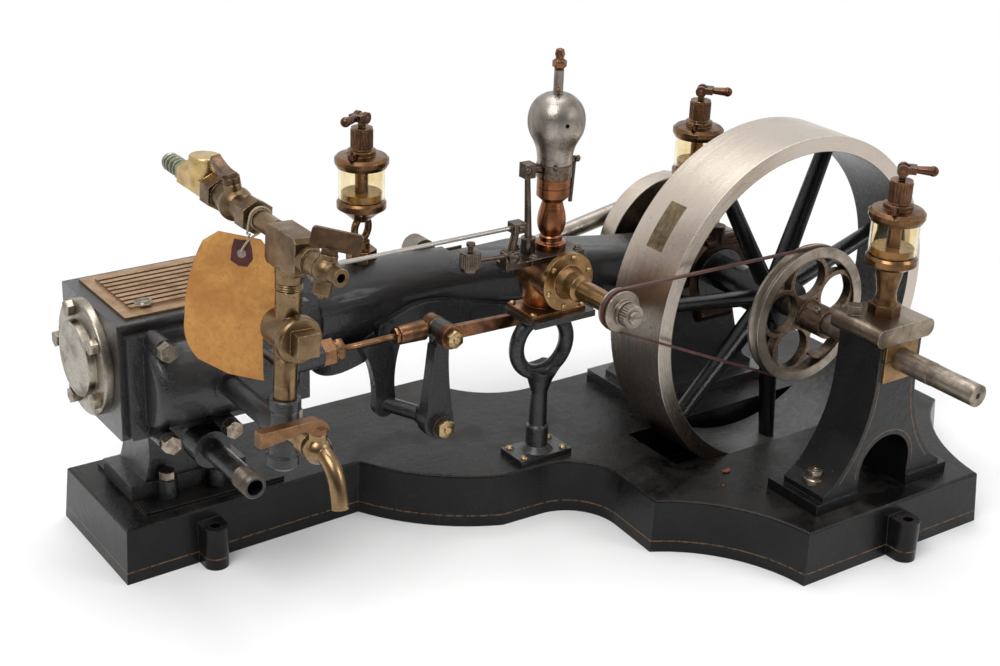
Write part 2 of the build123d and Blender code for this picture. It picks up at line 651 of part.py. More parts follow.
# Crankshaft with its turned-down drive end, and the crank disc on its other end.
shaft = along_y(0, shaft_z, shaft_end + drive_len, disc_back, shaft_r)
shaft += along_y(0, shaft_z, shaft_end, shaft_end + drive_len, drive_r)
save(shaft, "crankshaft")
disc = along_y(0, shaft_z, disc_front, disc_back, disc_r)
disc -= along_y(0, shaft_z, disc_front - 1, disc_back + 1, shaft_r)
save(disc, "crank_disc")

# Flywheel: bright rim, black web of tapered oval spokes with a hub.
rim = along_y(0, shaft_z, wheel_y0, wheel_y1, wheel_r)
rim -= along_y(0, shaft_z, wheel_y0 - 1, wheel_y1 + 1, wheel_in_r)
save(rim, "flywheel_rim")
mid = (wheel_y0 + wheel_y1) / 2
hub_r = 17.0
boss_out_r = 12.5
spoke_n = 7
spoke_turn = 18.5
spokes = along_y(0, shaft_z, mid - 20, mid + 20, hub_r)
spokes += along_y(0, shaft_z, mid + 19, ecc_y - ecc_half - 3, boss_out_r)
for k in range(spoke_n):
    a = math.radians(spoke_turn + 360 / spoke_n * k)
    out = Vector(math.cos(a), 0, math.sin(a))
    start = Plane(origin=Vector(0, mid, shaft_z) + out * (hub_r - 4), z_dir=out, x_dir=(0, 1, 0))
    end = Plane(origin=Vector(0, mid, shaft_z) + out * (wheel_in_r + 2), z_dir=out, x_dir=(0, 1, 0))
    spokes += loft([start * Ellipse(9, 5.5), end * Ellipse(7, 4.2)])
spokes &= along_y(0, shaft_z, wheel_y0, ecc_y, wheel_in_r)
spokes -= along_y(0, shaft_z, mid - 21, ecc_y, shaft_r)
save(spokes, "flywheel_spokes")

# Large belt pulley: grooved rim, five round eyes for spokes, and a long hub.
pulley_r = 50.5
pulley_in_r = 42.5
groove_r = 46.5
pulley_half = 5.0
eye_half = 3.5
pulley = turned_y(0, shaft_z, [(pulley_in_r, belt_y - pulley_half), (pulley_r, belt_y - pulley_half),
                               (pulley_r, belt_y - 3.5), (groove_r, belt_y - 1), (groove_r, belt_y + 1),
                               (pulley_r, belt_y + 3.5), (pulley_r, belt_y + pulley_half),
                               (pulley_in_r, belt_y + pulley_half)])
eye_n = 5
eye_in_r = 14.6
eye_out_r = 18.0
eye_pitch = 27.3
eye_at = []
for k in range(eye_n):
    a = math.radians(24 + 360 / eye_n * k)
    eye_at.append((eye_pitch * math.cos(a), shaft_z + eye_pitch * math.sin(a)))
web = along_y(0, shaft_z, belt_y - eye_half, belt_y + eye_half, 12)
for x, z in eye_at:
    web += along_y(x, z, belt_y - eye_half, belt_y + eye_half, eye_out_r)
web &= along_y(0, shaft_z, belt_y - eye_half, belt_y + eye_half, pulley_in_r + 0.5)
for x, z in eye_at:
    web -= along_y(x, z, belt_y - eye_half - 1, belt_y + eye_half + 1, eye_in_r)
pulley += web
pulley += along_y(0, shaft_z, belt_y - 24, belt_y + eye_half, 11)
pulley -= along_y(0, shaft_z, belt_y - 25, belt_y + 10, shaft_r)
save(pulley, "belt_pulley")

# Governor stand: foot plate, column with a round loop, and the table.
loop_z = 125.0
loop_r = 21.5
loop_t = 5.4
stand = box(gov_x - 22, gov_x + 22, gov_y - 13, gov_y + 13, bed_h, bed_h + 4)
stand += turned(gov_x, gov_y, [(0, bed_h + 4), (12, bed_h + 4), (8, bed_h + 8), (8, 61), (6.5, 63),
                               (6, 88), (9, 98), (14, 108), (0, 108)])
loop = Pos(gov_x, gov_y, loop_z) * Rot(90, 0, 0) * Torus(loop_r, loop_t)
stand -= along_y(gov_x, loop_z, gov_y - 20, gov_y + 20, loop_r - 2)
stand += loop - box(gov_x - 40, gov_x + 40, gov_y - 10, gov_y + 10, table_z, table_z + 20)
stand += box(gov_x - 24, gov_x + 27, gov_y - 24, gov_y + 12, table_z, table_z + table_t)
save(stand, "governor_stand")

# Gear housing: foot flange, barrel body, and the neck's round seat.
seat_z = table_z + table_t
housing = box(gov_x - 23, gov_x + 22, gov_y - 19, gov_y + 11, seat_z, seat_z + 3)
housing += turned_curve(gov_x, gov_y, seat_z + 2, [(13.5, seat_z + 3), (17.5, 168), (18, 181), (15, deck_z)], deck_z)
housing += along_y(gov_x - 1, gov_pulley_z, gov_y - 24, gov_y + 12, 17)
housing -= box(gov_x - 30, gov_x + 30, gov_y - 30, gov_y + 30, deck_z, deck_z + 20)
save(housing, "governor_gearbox")

# Bolted flange with the long bearing neck that carries the small pulley's spindle.
drive_x = gov_x - 1
drive_spindle_r = 3.5
face_y = gov_y - 24
neck_end = belt_y + 7
flange = turned_y(drive_x, gov_pulley_z, [(drive_spindle_r + running_gap, face_y), (20.5, face_y),
                                          (20.5, face_y - 4), (12, face_y - 4), (10, face_y - 10),
                                          (9.5, face_y - 18), (7, face_y - 20), (7, neck_end),
                                          (drive_spindle_r + running_gap, neck_end)])
save(flange, "governor_shaft_bearing")
small_r = 14.0
small_groove = 11.5
gp = turned_y(drive_x, gov_pulley_z, [(0, belt_y - 9), (9, belt_y - 9), (9, belt_y - 5), (small_r, belt_y - 4),
                                      (small_r, belt_y - 3), (small_groove, belt_y - 1), (small_groove, belt_y + 1),
                                      (small_r, belt_y + 3), (small_r, belt_y + 4), (9, belt_y + 5),
                                      (9, neck_end - touch_gap), (0, neck_end - touch_gap)])
gp += along_y(drive_x, gov_pulley_z, belt_y - 16, belt_y - 9, 7.5)
gp += along_y(drive_x, gov_pulley_z, neck_end - 1, face_y - 1, drive_spindle_r)
save(gp, "governor_pulley")

# Governor deck plate and the turned column over it, with the sliding collar on top.
deck_x0 = gov_x - 22
deck_x1 = gov_x + 22
save(box(deck_x0, deck_x1, gov_y - 14, gov_y + 14, deck_z, deck_z + deck_t), "governor_top_plate")
deck_top = deck_z + deck_t
vase = turned_curve(spindle_x, gov_y, deck_top, [(6.6, 206), (9.7, 214), (8.6, 224), (6.8, 230.5)], 231)
vase += turned(spindle_x, gov_y, [(0, deck_top), (10.7, deck_top), (10.7, 201), (8, 202), (8, 205), (6.6, 206.5),
                                  (0, 206.5)])
vase += turned(spindle_x, gov_y, [(0, 230), (7, 230), (11.2, 234), (11.2, 247), (12.1, 247.5),
                                  (12.1, collar_z), (0, collar_z)])
vase -= along_z(spindle_x, gov_y, 208, collar_z + 1, spindle_r + running_gap)
save(vase, "governor_column")

# Governor head: the bulb that hides the balls, its spindle and the top knob.
bulb_z = 286.0
bulb_r = 19.3
head_z = collar_z + touch_gap
knob_z = 335.0
head = turned_curve(spindle_x, gov_y, head_z, [(11.8, head_z + 1), (12.2, 263), (14, 270), (18.3, 279),
                                               (bulb_r, 287), (17.6, 295), (12.5, 301.5), (3, 305)], 305.5)
head += along_z(spindle_x, gov_y, 304, 321, 3.3)
head += turned(spindle_x, gov_y, [(0, 320), (2, 320), (2, 322), (3.8, 322), (3.8, 327), (2.6, 328),
                                  (3.4, 331), (2.6, knob_z - 1), (0, knob_z)])
head += along_z(spindle_x, gov_y, 209, head_z + 2, spindle_r)
save(head, "governor_head")

# Governor linkage: side link, bell crank with its counterweight, and the long speed
# rod to the arm on the cut-off spindle in the steam chest.
link_x = gov_x - 17
crank_y = gov_y - 12
crank_x = gov_x - 39
rod_z = 221.5
link = rod((spindle_x - 11, gov_y, 254), (link_x - 3, gov_y, 257), 3)
link -= along_z(spindle_x, gov_y, 240, 270, 12.1)
link += box(link_x - 6, link_x + 2, gov_y - 4, gov_y + 4, 250, 260)
link += rod((link_x - 2, gov_y, 254), (link_x + 1, gov_y, 206), 1.9, 2.6)
link += along_z(link_x + 1, gov_y, deck_top, 207, 5)
link += box(crank_x - 4, deck_x0, gov_y - 14, gov_y - 2, deck_z, deck_top)
link += box(crank_x - 4, crank_x + 4, gov_y - 14, gov_y - 6, deck_z, 204)
link += rod((crank_x, crank_y, 202), (crank_x + 4, crank_y, rod_z - 1), 3.2, 2.6)
link += along_y(crank_x, 202, crank_y - 6, crank_y + 6, 4)
link += box(crank_x, crank_x + 9, crank_y - 4.5, crank_y + 4.5, rod_z - 3.5, rod_z + 3.5)
link += along_x(crank_y, rod_z, cut_x, crank_x + 4, 1.5)
link += rod((crank_x, crank_y, 202), (crank_x - 32, crank_y, 204), 1.6)
link += turned(crank_x - 32, crank_y, [(0, 198), (6.3, 198), (6.8, 200), (6.8, 211), (0, 212)])
link += turned(crank_x - 32, crank_y, [(0, 211), (1.8, 211), (1.8, 214), (3, 215), (3, 217), (0, 217.5)])
link += along_y(cut_x, cut_z, casing_front - 5, crank_y + 1, 2.6)
link += slab([(cut_x - 4, crank_y + 1.5, cut_z - 4), (cut_x + 4, crank_y + 1.5, cut_z - 4),
              (cut_x + 3, crank_y + 1.5, rod_z + 3), (cut_x - 3, crank_y + 1.5, rod_z + 3)], (0, -3, 0))
link += rod((spindle_x + 11, gov_y, 255), (spindle_x + 18, gov_y, 257), 2)
link -= along_z(spindle_x, gov_y, 240, 270, 12.1)
link += rod((spindle_x + 17, gov_y, 259), (spindle_x + 15, gov_y, 227), 1.4)
save(link, "governor_linkage")

# Belt: one closed loop of round leather cord in the two grooves.
belt_r1 = groove_r + 2.4
belt_r2 = small_groove + 1.6
belt_t = 1.6
dx = drive_x
dz = gov_pulley_z - shaft_z
dist = math.hypot(dx, dz)
base = math.atan2(dz, dx)
lean = math.acos((belt_r1 - belt_r2) / dist)


def tangent(sign, r, cx, cz, off):
    """Touch point of a straight belt run on a pulley."""
    a = base + sign * lean
    return Vector(cx + (r + off) * math.cos(a), belt_y, cz + (r + off) * math.sin(a))


loops = []
for off in (belt_t, 0.0):
    a1 = tangent(1, belt_r1, 0, shaft_z, off)
    a2 = tangent(-1, belt_r1, 0, shaft_z, off)
    b1 = tangent(1, belt_r2, drive_x, gov_pulley_z, off)
    b2 = tangent(-1, belt_r2, drive_x, gov_pulley_z, off)
    far1 = Vector(-(belt_r1 + off) * math.cos(base), belt_y, shaft_z - (belt_r1 + off) * math.sin(base))
    far2 = Vector(drive_x + (belt_r2 + off) * math.cos(base), belt_y,
                  gov_pulley_z + (belt_r2 + off) * math.sin(base))
    wire = Wire([Edge.make_line(a1, b1), Edge.make_three_point_arc(b1, far2, b2),
                 Edge.make_line(b2, a2), Edge.make_three_point_arc(a2, far1, a1)])
    loops.append(wire)
belt = as_part(Solid.extrude(Face(loops[0], [loops[1]]), Vector(0, 1.2, 0)))
belt += as_part(Solid.extrude(Face(loops[0], [loops[1]]), Vector(0, -1.2, 0)))
save(belt, "drive_belt")

oiler_metal = []
oiler_glass = []
glass_r = 16.2
glass_wall = 1.6
ring_r = 17.4
lid_r = 19.0
lever_pin_r = 1.3


def oiler(x, y, base_z, ring_z, yaw, loop, name):
    """A glass oiler on a stem, with a snap lever on top that points along yaw."""
    glass_z0 = ring_z + 8
    glass_z1 = glass_z0 + 23.5
    lid_z = glass_z1 + 8
    nut_z = lid_z + 20
    metal = hexagon((0, 0, base_z), (0, 0, base_z + 8), 19)
    if loop:
        metal += along_z(0, 0, base_z + 7, base_z + 14, 6)
        metal += Pos(0, 0, base_z + 23) * Rot(90, 0, 0) * Torus(8.3, 2.6)
        metal += turned(0, 0, [(0, ring_z - 8), (5, ring_z - 8), (14, ring_z), (0, ring_z)])
    else:
        metal += turned_curve(0, 0, base_z + 7, [(8.3, base_z + 9), (6.8, base_z + 16), (8.4, ring_z - 10),
                                                 (9.5, ring_z - 1)], ring_z)
    metal += turned(0, 0, [(0, ring_z - 1), (13, ring_z - 1), (ring_r, ring_z + 2), (ring_r, ring_z + 6),
                           (16, glass_z0), (4.6, glass_z0), (4.6, glass_z1), (ring_r, glass_z1),
                           (lid_r, glass_z1 + 3), (lid_r, glass_z1 + 6), (17, lid_z), (10, lid_z + 1),
                           (10, lid_z + 4), (7.5, lid_z + 5), (7.5, nut_z), (0, nut_z)])
    pin_z = nut_z + 7
    metal += box(-2.2, 2.2, -1.7, 1.7, nut_z - 1, pin_z)
    metal += along_y(0, pin_z, -1.7, 1.7, 3.2)
    metal += along_y(0, pin_z, -5, 5, lever_pin_r)
    place = Pos(x, y, 0) * Rot(0, 0, yaw)
    oiler_metal.append(place * metal)
    glass = turned(0, 0, [(glass_r - glass_wall, glass_z0), (glass_r, glass_z0), (glass_r, glass_z1),
                          (glass_r - glass_wall, glass_z1)])
    oiler_glass.append(place * glass)
    cheek = 1.7 + touch_gap
    lever = box(4.2, 8.5, -5, 5, pin_z - 1.5, pin_z + 3)
    for side in (-1, 1):
        lever += along_y(0, pin_z, side * cheek, side * 5, 4)
        lever += box(0, 6, min(side * cheek, side * 5), max(side * cheek, side * 5), pin_z - 1.5, pin_z + 3)
    lever += along_x(0, pin_z + 0.8, 8, 19, 2.4, 3.2)
    lever += Pos(19, 0, pin_z + 0.8) * Sphere(3.5)
    lever -= along_y(0, pin_z, -6, 6, lever_pin_r + running_gap)
    save(place * lever, name + "_lever")


cap_top = cap_z + cap_h
oiler(oiler_x, cyl_y, boss_top, 208, 204, True, "crosshead_oiler")
oiler(0, 4, cap_top, 206.5, -48, False, "main_oiler")
oiler(0, (out_y0 + out_y1) / 2, cap_top, 203.5, -48, False, "outboard_oiler")
save(Compound(children=oiler_metal), "oiler_bodies")
save(Compound(children=oiler_glass), "oiler_glasses")

# Paper tag behind the riser, and the string that holds it to the pipe.
tag_x = -419.0
tag_y = -37.0
tag_turn = math.radians(-34.8)
tag_t = 0.5
tag_top = cock_z - 7.5
tag_along = (math.cos(tag_turn), math.sin(tag_turn), 0)
tag_out = (math.sin(tag_turn), -math.cos(tag_turn), 0)
tag_plane = Plane(origin=(tag_x, tag_y, 0), x_dir=tag_along, z_dir=tag_out)
tag_runs = [
    [(4.9, tag_top), (-4.7, tag_top - 6.2)],
    [(-4.7, tag_top - 6.2), (-14.5, tag_top - 33.5), (-17.3, tag_top - 56.5)],
    [(-17.3, tag_top - 56.5), (-16, tag_top - 73.5), (-9.9, tag_top - 83.9)],
    [(-9.9, tag_top - 83.9), (8.2, tag_top - 93.4)],
    [(8.2, tag_top - 93.4), (30, tag_top - 97.5)],
    [(30, tag_top - 97.5), (29.8, tag_top - 69.5)],
    [(29.8, tag_top - 69.5), (37.5, tag_top - 51.5), (39.5, tag_top - 31.5)],
    [(39.5, tag_top - 31.5), (36.5, tag_top - 15.5), (30, tag_top - 4.5)],
    [(30, tag_top - 4.5), (4.9, tag_top)],
]
tag_face = outline(tag_runs, lambda u, z: tuple(tag_plane.from_local_coords((u, z, 0))))
tag = pushed(tag_face, Vector(*tag_out) * tag_t)
hole = tag_plane.from_local_coords((18.3, tag_top - 13.9, 0))
tag -= rod(hole - Vector(*tag_out) * 2, hole + Vector(*tag_out) * 2, 2.6)
save(tag, "paper_tag")
string_r = 0.6
knot = hole + Vector(*tag_out) * (tag_t + 2 * string_r)
pipe_side = 0.71 * (6.3 + touch_gap + string_r)
pipe_x = riser_x + (cock_z - inlet_z) * math.sin(math.radians(pipe_lean))
pipe_low = Vector(pipe_x - pipe_side, -52, cock_z - pipe_side)
save(rod(knot, pipe_low, string_r), "tag_string")
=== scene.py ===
import math

import bmesh
import bpy
from mathutils import Matrix, Vector


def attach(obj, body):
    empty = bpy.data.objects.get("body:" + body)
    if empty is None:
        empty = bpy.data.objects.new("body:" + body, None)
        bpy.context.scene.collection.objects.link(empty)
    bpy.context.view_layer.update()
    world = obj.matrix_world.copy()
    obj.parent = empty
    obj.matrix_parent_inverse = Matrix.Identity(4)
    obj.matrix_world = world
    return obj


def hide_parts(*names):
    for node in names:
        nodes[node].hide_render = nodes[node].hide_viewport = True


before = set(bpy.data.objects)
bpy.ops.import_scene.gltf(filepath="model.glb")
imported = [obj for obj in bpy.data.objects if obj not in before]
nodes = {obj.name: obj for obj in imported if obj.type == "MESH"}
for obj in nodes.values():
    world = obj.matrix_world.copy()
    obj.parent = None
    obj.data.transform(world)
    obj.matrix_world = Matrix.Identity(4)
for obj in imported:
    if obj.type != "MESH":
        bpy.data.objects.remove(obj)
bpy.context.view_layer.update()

mm = 0.001

# The camera stands to the left of the engine and a little above it, so it sees the
# cylinder's end, the whole valve side, the flywheel and the drive end of the shaft.
camera_data = bpy.data.cameras.new("camera")
camera_data.lens = 60.86
camera_data.sensor_width = 36
camera = bpy.data.objects.new("camera", camera_data)
bpy.context.scene.collection.objects.link(camera)
camera_right = Vector((0.82078, -0.57003, 0.03722))
camera_up = Vector((0.20117, 0.34941, 0.91512))
camera_back = Vector((-0.53465, -0.74362, 0.40146))
camera_place = Vector((-826.74, -902.94, 605.20))
turn = Matrix((camera_right, camera_up, camera_back)).transposed()
camera.matrix_world = Matrix.Translation(camera_place * mm) @ turn.to_4x4()
bpy.context.scene.camera = camera

# Bedplate: an iron casting under many coats of black enamel, with a gilt line round
# its foot. The enamel has soft waves from the casting, dust on top, small chips, and
# edges rubbed grey.


def new_group(name, inputs, outputs):
    """A shader node group with named sockets, and its two end nodes."""
    tree = bpy.data.node_groups.new(name, "ShaderNodeTree")
    for label, kind, value in inputs:
        socket = tree.interface.new_socket(label, in_out="INPUT", socket_type=kind)
        if value is not None:
            socket.default_value = value
    for label, kind in outputs:
        tree.interface.new_socket(label, in_out="OUTPUT", socket_type=kind)
    return tree, tree.nodes.new("NodeGroupInput"), tree.nodes.new("NodeGroupOutput")


def put(tree, kind, links=(), **values):
    """A node with some sockets set by name or number, and others linked."""
    node = tree.nodes.new(kind)
    for key, value in values.items():
        setattr(node, key, value)
    for key, value in links:
        if isinstance(value, bpy.types.NodeSocket):
            tree.links.new(value, node.inputs[key])
        else:
            node.inputs[key].default_value = value
    return node


def reckon(tree, operation, first, second=0.0):
    """One sum on two levels."""
    return put(tree, "ShaderNodeMath", [(0, first), (1, second)], operation=operation).outputs[0]


def on_vectors(tree, operation, first, second=(0, 0, 0), result=0):
    """One sum on two vectors."""
    node = put(tree, "ShaderNodeVectorMath", [(0, first), (1, second)], operation=operation)
    return node.outputs[result]


def mask_range(tree, source, low, high, out_low=0.0, out_high=1.0):
    """A value stretched between two levels and held there."""
    node = put(tree, "ShaderNodeMapRange", [("Value", source), ("From Min", low), ("From Max", high),
                                            ("To Min", out_low), ("To Max", out_high)])
    return node.outputs["Result"]


# Blotches: two sizes of noise, as stains, dust and tarnish lie.
blotch, b_in, b_out = new_group(
    "blotches",
    [("Vector", "NodeSocketVector", None), ("Scale", "NodeSocketFloat", 60.0),
     ("Low", "NodeSocketFloat", 0.45), ("High", "NodeSocketFloat", 0.65)],
    [("Mask", "NodeSocketFloat"), ("Fine", "NodeSocketFloat")],
)
big = put(blotch, "ShaderNodeTexNoise",
          [("Vector", b_in.outputs["Vector"]), ("Scale", b_in.outputs["Scale"]), ("Detail", 6.0),
           ("Roughness", 0.62), ("Distortion", 0.4)])
fine_scale = reckon(blotch, "MULTIPLY", b_in.outputs["Scale"], 9.0)
small = put(blotch, "ShaderNodeTexNoise",
            [("Vector", b_in.outputs["Vector"]), ("Scale", fine_scale), ("Detail", 4.0), ("Roughness", 0.7)])
level = mask_range(blotch, big.outputs["Fac"], b_in.outputs["Low"], b_in.outputs["High"])
blotch.links.new(level, b_out.inputs["Mask"])
blotch.links.new(small.outputs["Fac"], b_out.inputs["Fine"])

# Wear and dirt: sharp edges lose their skin, and corners where pieces meet hold dirt and painted shade.
worn, w_in, w_out = new_group(
    "wear and grime",
    [("Vector", "NodeSocketVector", None), ("Break", "NodeSocketFloat", 400.0)],
    [("Edge", "NodeSocketFloat"), ("Corner", "NodeSocketFloat"), ("Normal", "NodeSocketVector")],
)
round_edge = put(worn, "ShaderNodeBevel", [("Radius", 0.0007)], samples=6)
true_normal = put(worn, "ShaderNodeNewGeometry").outputs["Normal"]
same = on_vectors(worn, "DOT_PRODUCT", round_edge.outputs[0], true_normal, "Value")
turned_away = mask_range(worn, same, 0.995, 0.86)
edge_noise = put(worn, "ShaderNodeTexNoise",
                 [("Vector", w_in.outputs["Vector"]), ("Scale", w_in.outputs["Break"]), ("Detail", 5.0),
                  ("Roughness", 0.7)])
broken = mask_range(worn, edge_noise.outputs["Fac"], 0.42, 0.62)
# Ambient occlusion finds the corners, so their darkening is painted shade as well as dirt.
shade = put(worn, "ShaderNodeAmbientOcclusion", [("Distance", 0.006)], samples=6)
in_corner = mask_range(worn, shade.outputs["AO"], 0.85, 0.35)
uneven = mask_range(worn, edge_noise.outputs["Fac"], 0.3, 0.55, 0.45, 1.0)
worn.links.new(reckon(worn, "MULTIPLY", turned_away, broken), w_out.inputs["Edge"])
worn.links.new(reckon(worn, "MULTIPLY", in_corner, uneven), w_out.inputs["Corner"])
worn.links.new(round_edge.outputs[0], w_out.inputs["Normal"])


def start_finish(name, colour, metallic, rough):
    """A new material with its shader set, and the Object coordinates to build on."""
    mat = bpy.data.materials.new(name)
    mat.use_nodes = True
    tree = mat.node_tree
    shader = tree.nodes["Principled BSDF"]
    shader.inputs["Base Color"].default_value = (*colour, 1)
    shader.inputs["Metallic"].default_value = metallic
    shader.inputs["Roughness"].default_value = rough
    place = put(tree, "ShaderNodeTexCoord").outputs["Object"]
    return mat, tree, shader, place


def use_group(tree, group_tree, links):
    """A shader group placed in a material."""
    return put(tree, "ShaderNodeGroup", links, node_tree=group_tree)


def blotches(tree, place, scale, low=0.45, high=0.65):
    """Stains of one size over a finish."""
    return use_group(tree, blotch, [("Vector", place), ("Scale", scale), ("Low", low), ("High", high)])


def mix_colour(tree, factor, first, second):
    """One colour over another by a mask."""
    under, over = [tone if isinstance(tone, bpy.types.NodeSocket) else (*tone, 1) for tone in (first, second)]
    node = put(tree, "ShaderNodeMix", [(0, factor), (6, under), (7, over)], data_type="RGBA")
    return node.outputs[2]


def two_tones(tree, shader, mask, first, second):
    """A finish coloured by two tones and a mask."""
    tree.links.new(mix_colour(tree, mask, first, second), shader.inputs["Base Color"])


def relief(tree, shader, height, strength, distance, normal=()):
    """Fine relief over a finish, on its own or over a softened normal."""
    links = [("Height", height), ("Strength", strength), ("Distance", distance), *normal]
    bump = put(tree, "ShaderNodeBump", links)
    tree.links.new(bump.outputs["Normal"], shader.inputs["Normal"])


def distance_from(tree, place, centre, across=(1, 1, 1)):
    """How far a point is from a centre, in millimetres, along some of the axes only."""
    off = on_vectors(tree, "SUBTRACT", place, Vector(centre) * mm)
    flat = on_vectors(tree, "MULTIPLY", off, across)
    span = on_vectors(tree, "LENGTH", flat, result="Value")
    return reckon(tree, "MULTIPLY", span, 1000.0)


def near(tree, level, target, half, soft=0.15):
    """A mask that is one where a level lies within half of a target."""
    away = reckon(tree, "ABSOLUTE", reckon(tree, "SUBTRACT", level, target))
    return mask_range(tree, away, half + soft, half)


def height_of(tree, place, letter="Z"):
    """One coordinate in millimetres."""
    parts = put(tree, "ShaderNodeSeparateXYZ", [(0, place)])
    return reckon(tree, "MULTIPLY", parts.outputs[letter], 1000.0)


def enamel(name, dust=0.35, rough=0.2, lumps=0.25, gloss=0.4, coat=0.2, marks=None):
    """Black enamel on cast iron, with dust on what faces up, specks and rubbed edges."""
    mat, tree, shader, place = start_finish(name, (0.008, 0.008, 0.009), 0.0, rough)
    dirt = blotches(tree, place, 38.0, 0.40, 0.68)
    wear = use_group(tree, worn, [("Vector", place)])
    way = put(tree, "ShaderNodeSeparateXYZ", [(0, put(tree, "ShaderNodeNewGeometry").outputs["Normal"])])
    upward = mask_range(tree, way.outputs["Z"], 0.2, 0.95, 0.25, 1.0)
    speck = put(tree, "ShaderNodeTexVoronoi", [("Vector", place), ("Scale", 260.0)], feature="F1")
    speck_mask = mask_range(tree, speck.outputs["Distance"], 0.16, 0.07)
    some = reckon(tree, "MULTIPLY", mask_range(tree, dirt.outputs["Fine"], 0.52, 0.60), upward)
    dusty = reckon(tree, "MULTIPLY", reckon(tree, "MULTIPLY", dirt.outputs["Mask"], upward), dust)
    colour = mix_colour(tree, dusty, (0.0038, 0.0038, 0.0042), (0.030, 0.026, 0.022))
    colour = mix_colour(tree, reckon(tree, "MULTIPLY", speck_mask, some), colour, (0.10, 0.075, 0.055))
    colour = mix_colour(tree, wear.outputs["Edge"], colour, (0.060, 0.055, 0.050))
    if marks:
        colour = marks(tree, place, dirt.outputs["Fine"], colour)
    tree.links.new(colour, shader.inputs["Base Color"])
    tree.links.new(mask_range(tree, dusty, 0.0, 1.0, rough, rough + 0.42), shader.inputs["Roughness"])
    wave = put(tree, "ShaderNodeTexNoise", [("Vector", place), ("Scale", 170.0), ("Detail", 3.0)])
    peel = put(tree, "ShaderNodeTexNoise", [("Vector", place), ("Scale", 1100.0), ("Detail", 2.0)])
    height = reckon(tree, "ADD", wave.outputs["Fac"], peel.outputs["Fac"])
    relief(tree, shader, height, lumps, 0.0008, [("Normal", wear.outputs["Normal"])])
    shader.inputs["Specular IOR Level"].default_value = gloss
    shader.inputs["Coat Weight"].default_value = coat
    shader.inputs["Coat Roughness"].default_value = 0.12
    return mat


gilt = (0.13, 0.068, 0.026)
foot_line_z = 8.2
foot_line_half = 0.45
pit_y = -88.65
pit_half_x = 105.0
pit_half_y = 34.0


def foot_line(tree, place, fine, colour):
    """A worn gilt line a little above the bed's foot, but not in the flywheel's pit."""
    band = near(tree, height_of(tree, place), foot_line_z, foot_line_half)
    off_x = distance_from(tree, place, (0, 0, 0), (1, 0, 0))
    off_y = distance_from(tree, place, (0, pit_y, 0), (0, 1, 0))
    outside = reckon(tree, "MAXIMUM", mask_range(tree, off_x, pit_half_x, pit_half_x + 1),
                     mask_range(tree, off_y, pit_half_y, pit_half_y + 1))
    there = reckon(tree, "MULTIPLY", reckon(tree, "MULTIPLY", band, outside),
                   mask_range(tree, fine, 0.40, 0.54))
    return mix_colour(tree, there, colour, gilt)


def paint(mat, *names):
    """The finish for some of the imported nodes."""
    for name in names:
        obj = nodes[name]
        obj.data.materials.clear()
        obj.data.materials.append(mat)


bed_enamel = enamel("bed enamel", dust=0.75, rough=0.2, lumps=0.35, gloss=0.2, coat=0.06, marks=foot_line)
paint(bed_enamel, "bedplate")


def at(x, y, z, towards=(0, 0, 1)):
    """The place of a small piece: its foot in millimetres, and the way its axis points."""
    return Matrix.Translation((x, y, z)) @ Vector(towards).to_track_quat("Z", "Y").to_matrix().to_4x4()


def add_piece(name, mesh, mat, body="engine"):
    """A mesh in millimetres made an object in metres that rides on a body."""
    bmesh.ops.remove_doubles(mesh, verts=mesh.verts, dist=0.004)
    bmesh.ops.recalc_face_normals(mesh, faces=mesh.faces)
    bmesh.ops.scale(mesh, vec=(mm, mm, mm), verts=mesh.verts)
    for face in mesh.faces:
        face.smooth = True
    for edge in mesh.edges:
        edge.smooth = edge.calc_face_angle(0) < 0.6
    data = bpy.data.meshes.new(name)
    mesh.to_mesh(data)
    mesh.free()
    data.materials.append(mat)
    piece = bpy.data.objects.new(name, data)
    bpy.context.scene.collection.objects.link(piece)
    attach(piece, body)
    return piece


# A crumb of rust lies on the bed by the flywheel's pit, with two small ones.
bed_top = 38.7
crumb_at = [(-72, -135, 2.6), (-88, -150, 0.9), (30, -140, 0.8)]
crumbs = bmesh.new()
for x, y, size in crumb_at:
    lump = bmesh.ops.create_icosphere(crumbs, subdivisions=2, radius=size)["verts"]
    for vert in lump:
        vert.co *= 1 + 0.35 * math.sin(vert.co.x * 3 + vert.co.y * 5 + x)
    bmesh.ops.scale(crumbs, vec=(1.3, 0.8, 0.4), verts=lump)
    bmesh.ops.translate(crumbs, vec=(x, y, bed_top + 0.25 * size), verts=lump)
rust, tree, shader, place = start_finish("rust crumbs", (0.20, 0.075, 0.025), 0.0, 0.9)
grit = put(tree, "ShaderNodeTexNoise", [("Vector", place), ("Scale", 900.0)])
two_tones(tree, shader, grit.outputs["Fac"], (0.10, 0.035, 0.015), (0.30, 0.12, 0.04))
add_piece("bed_crumbs", crumbs, rust)

# Cylinder block and steam chest: the same black enamel over cast iron, thicker and
# glossier. The chest's flange is bolted to the block's front.
engine_enamel = enamel("engine enamel", dust=0.4, rough=0.15, lumps=0.75, gloss=0.5, coat=0.3)
paint(engine_enamel, "cylinder_block", "steam_chest")

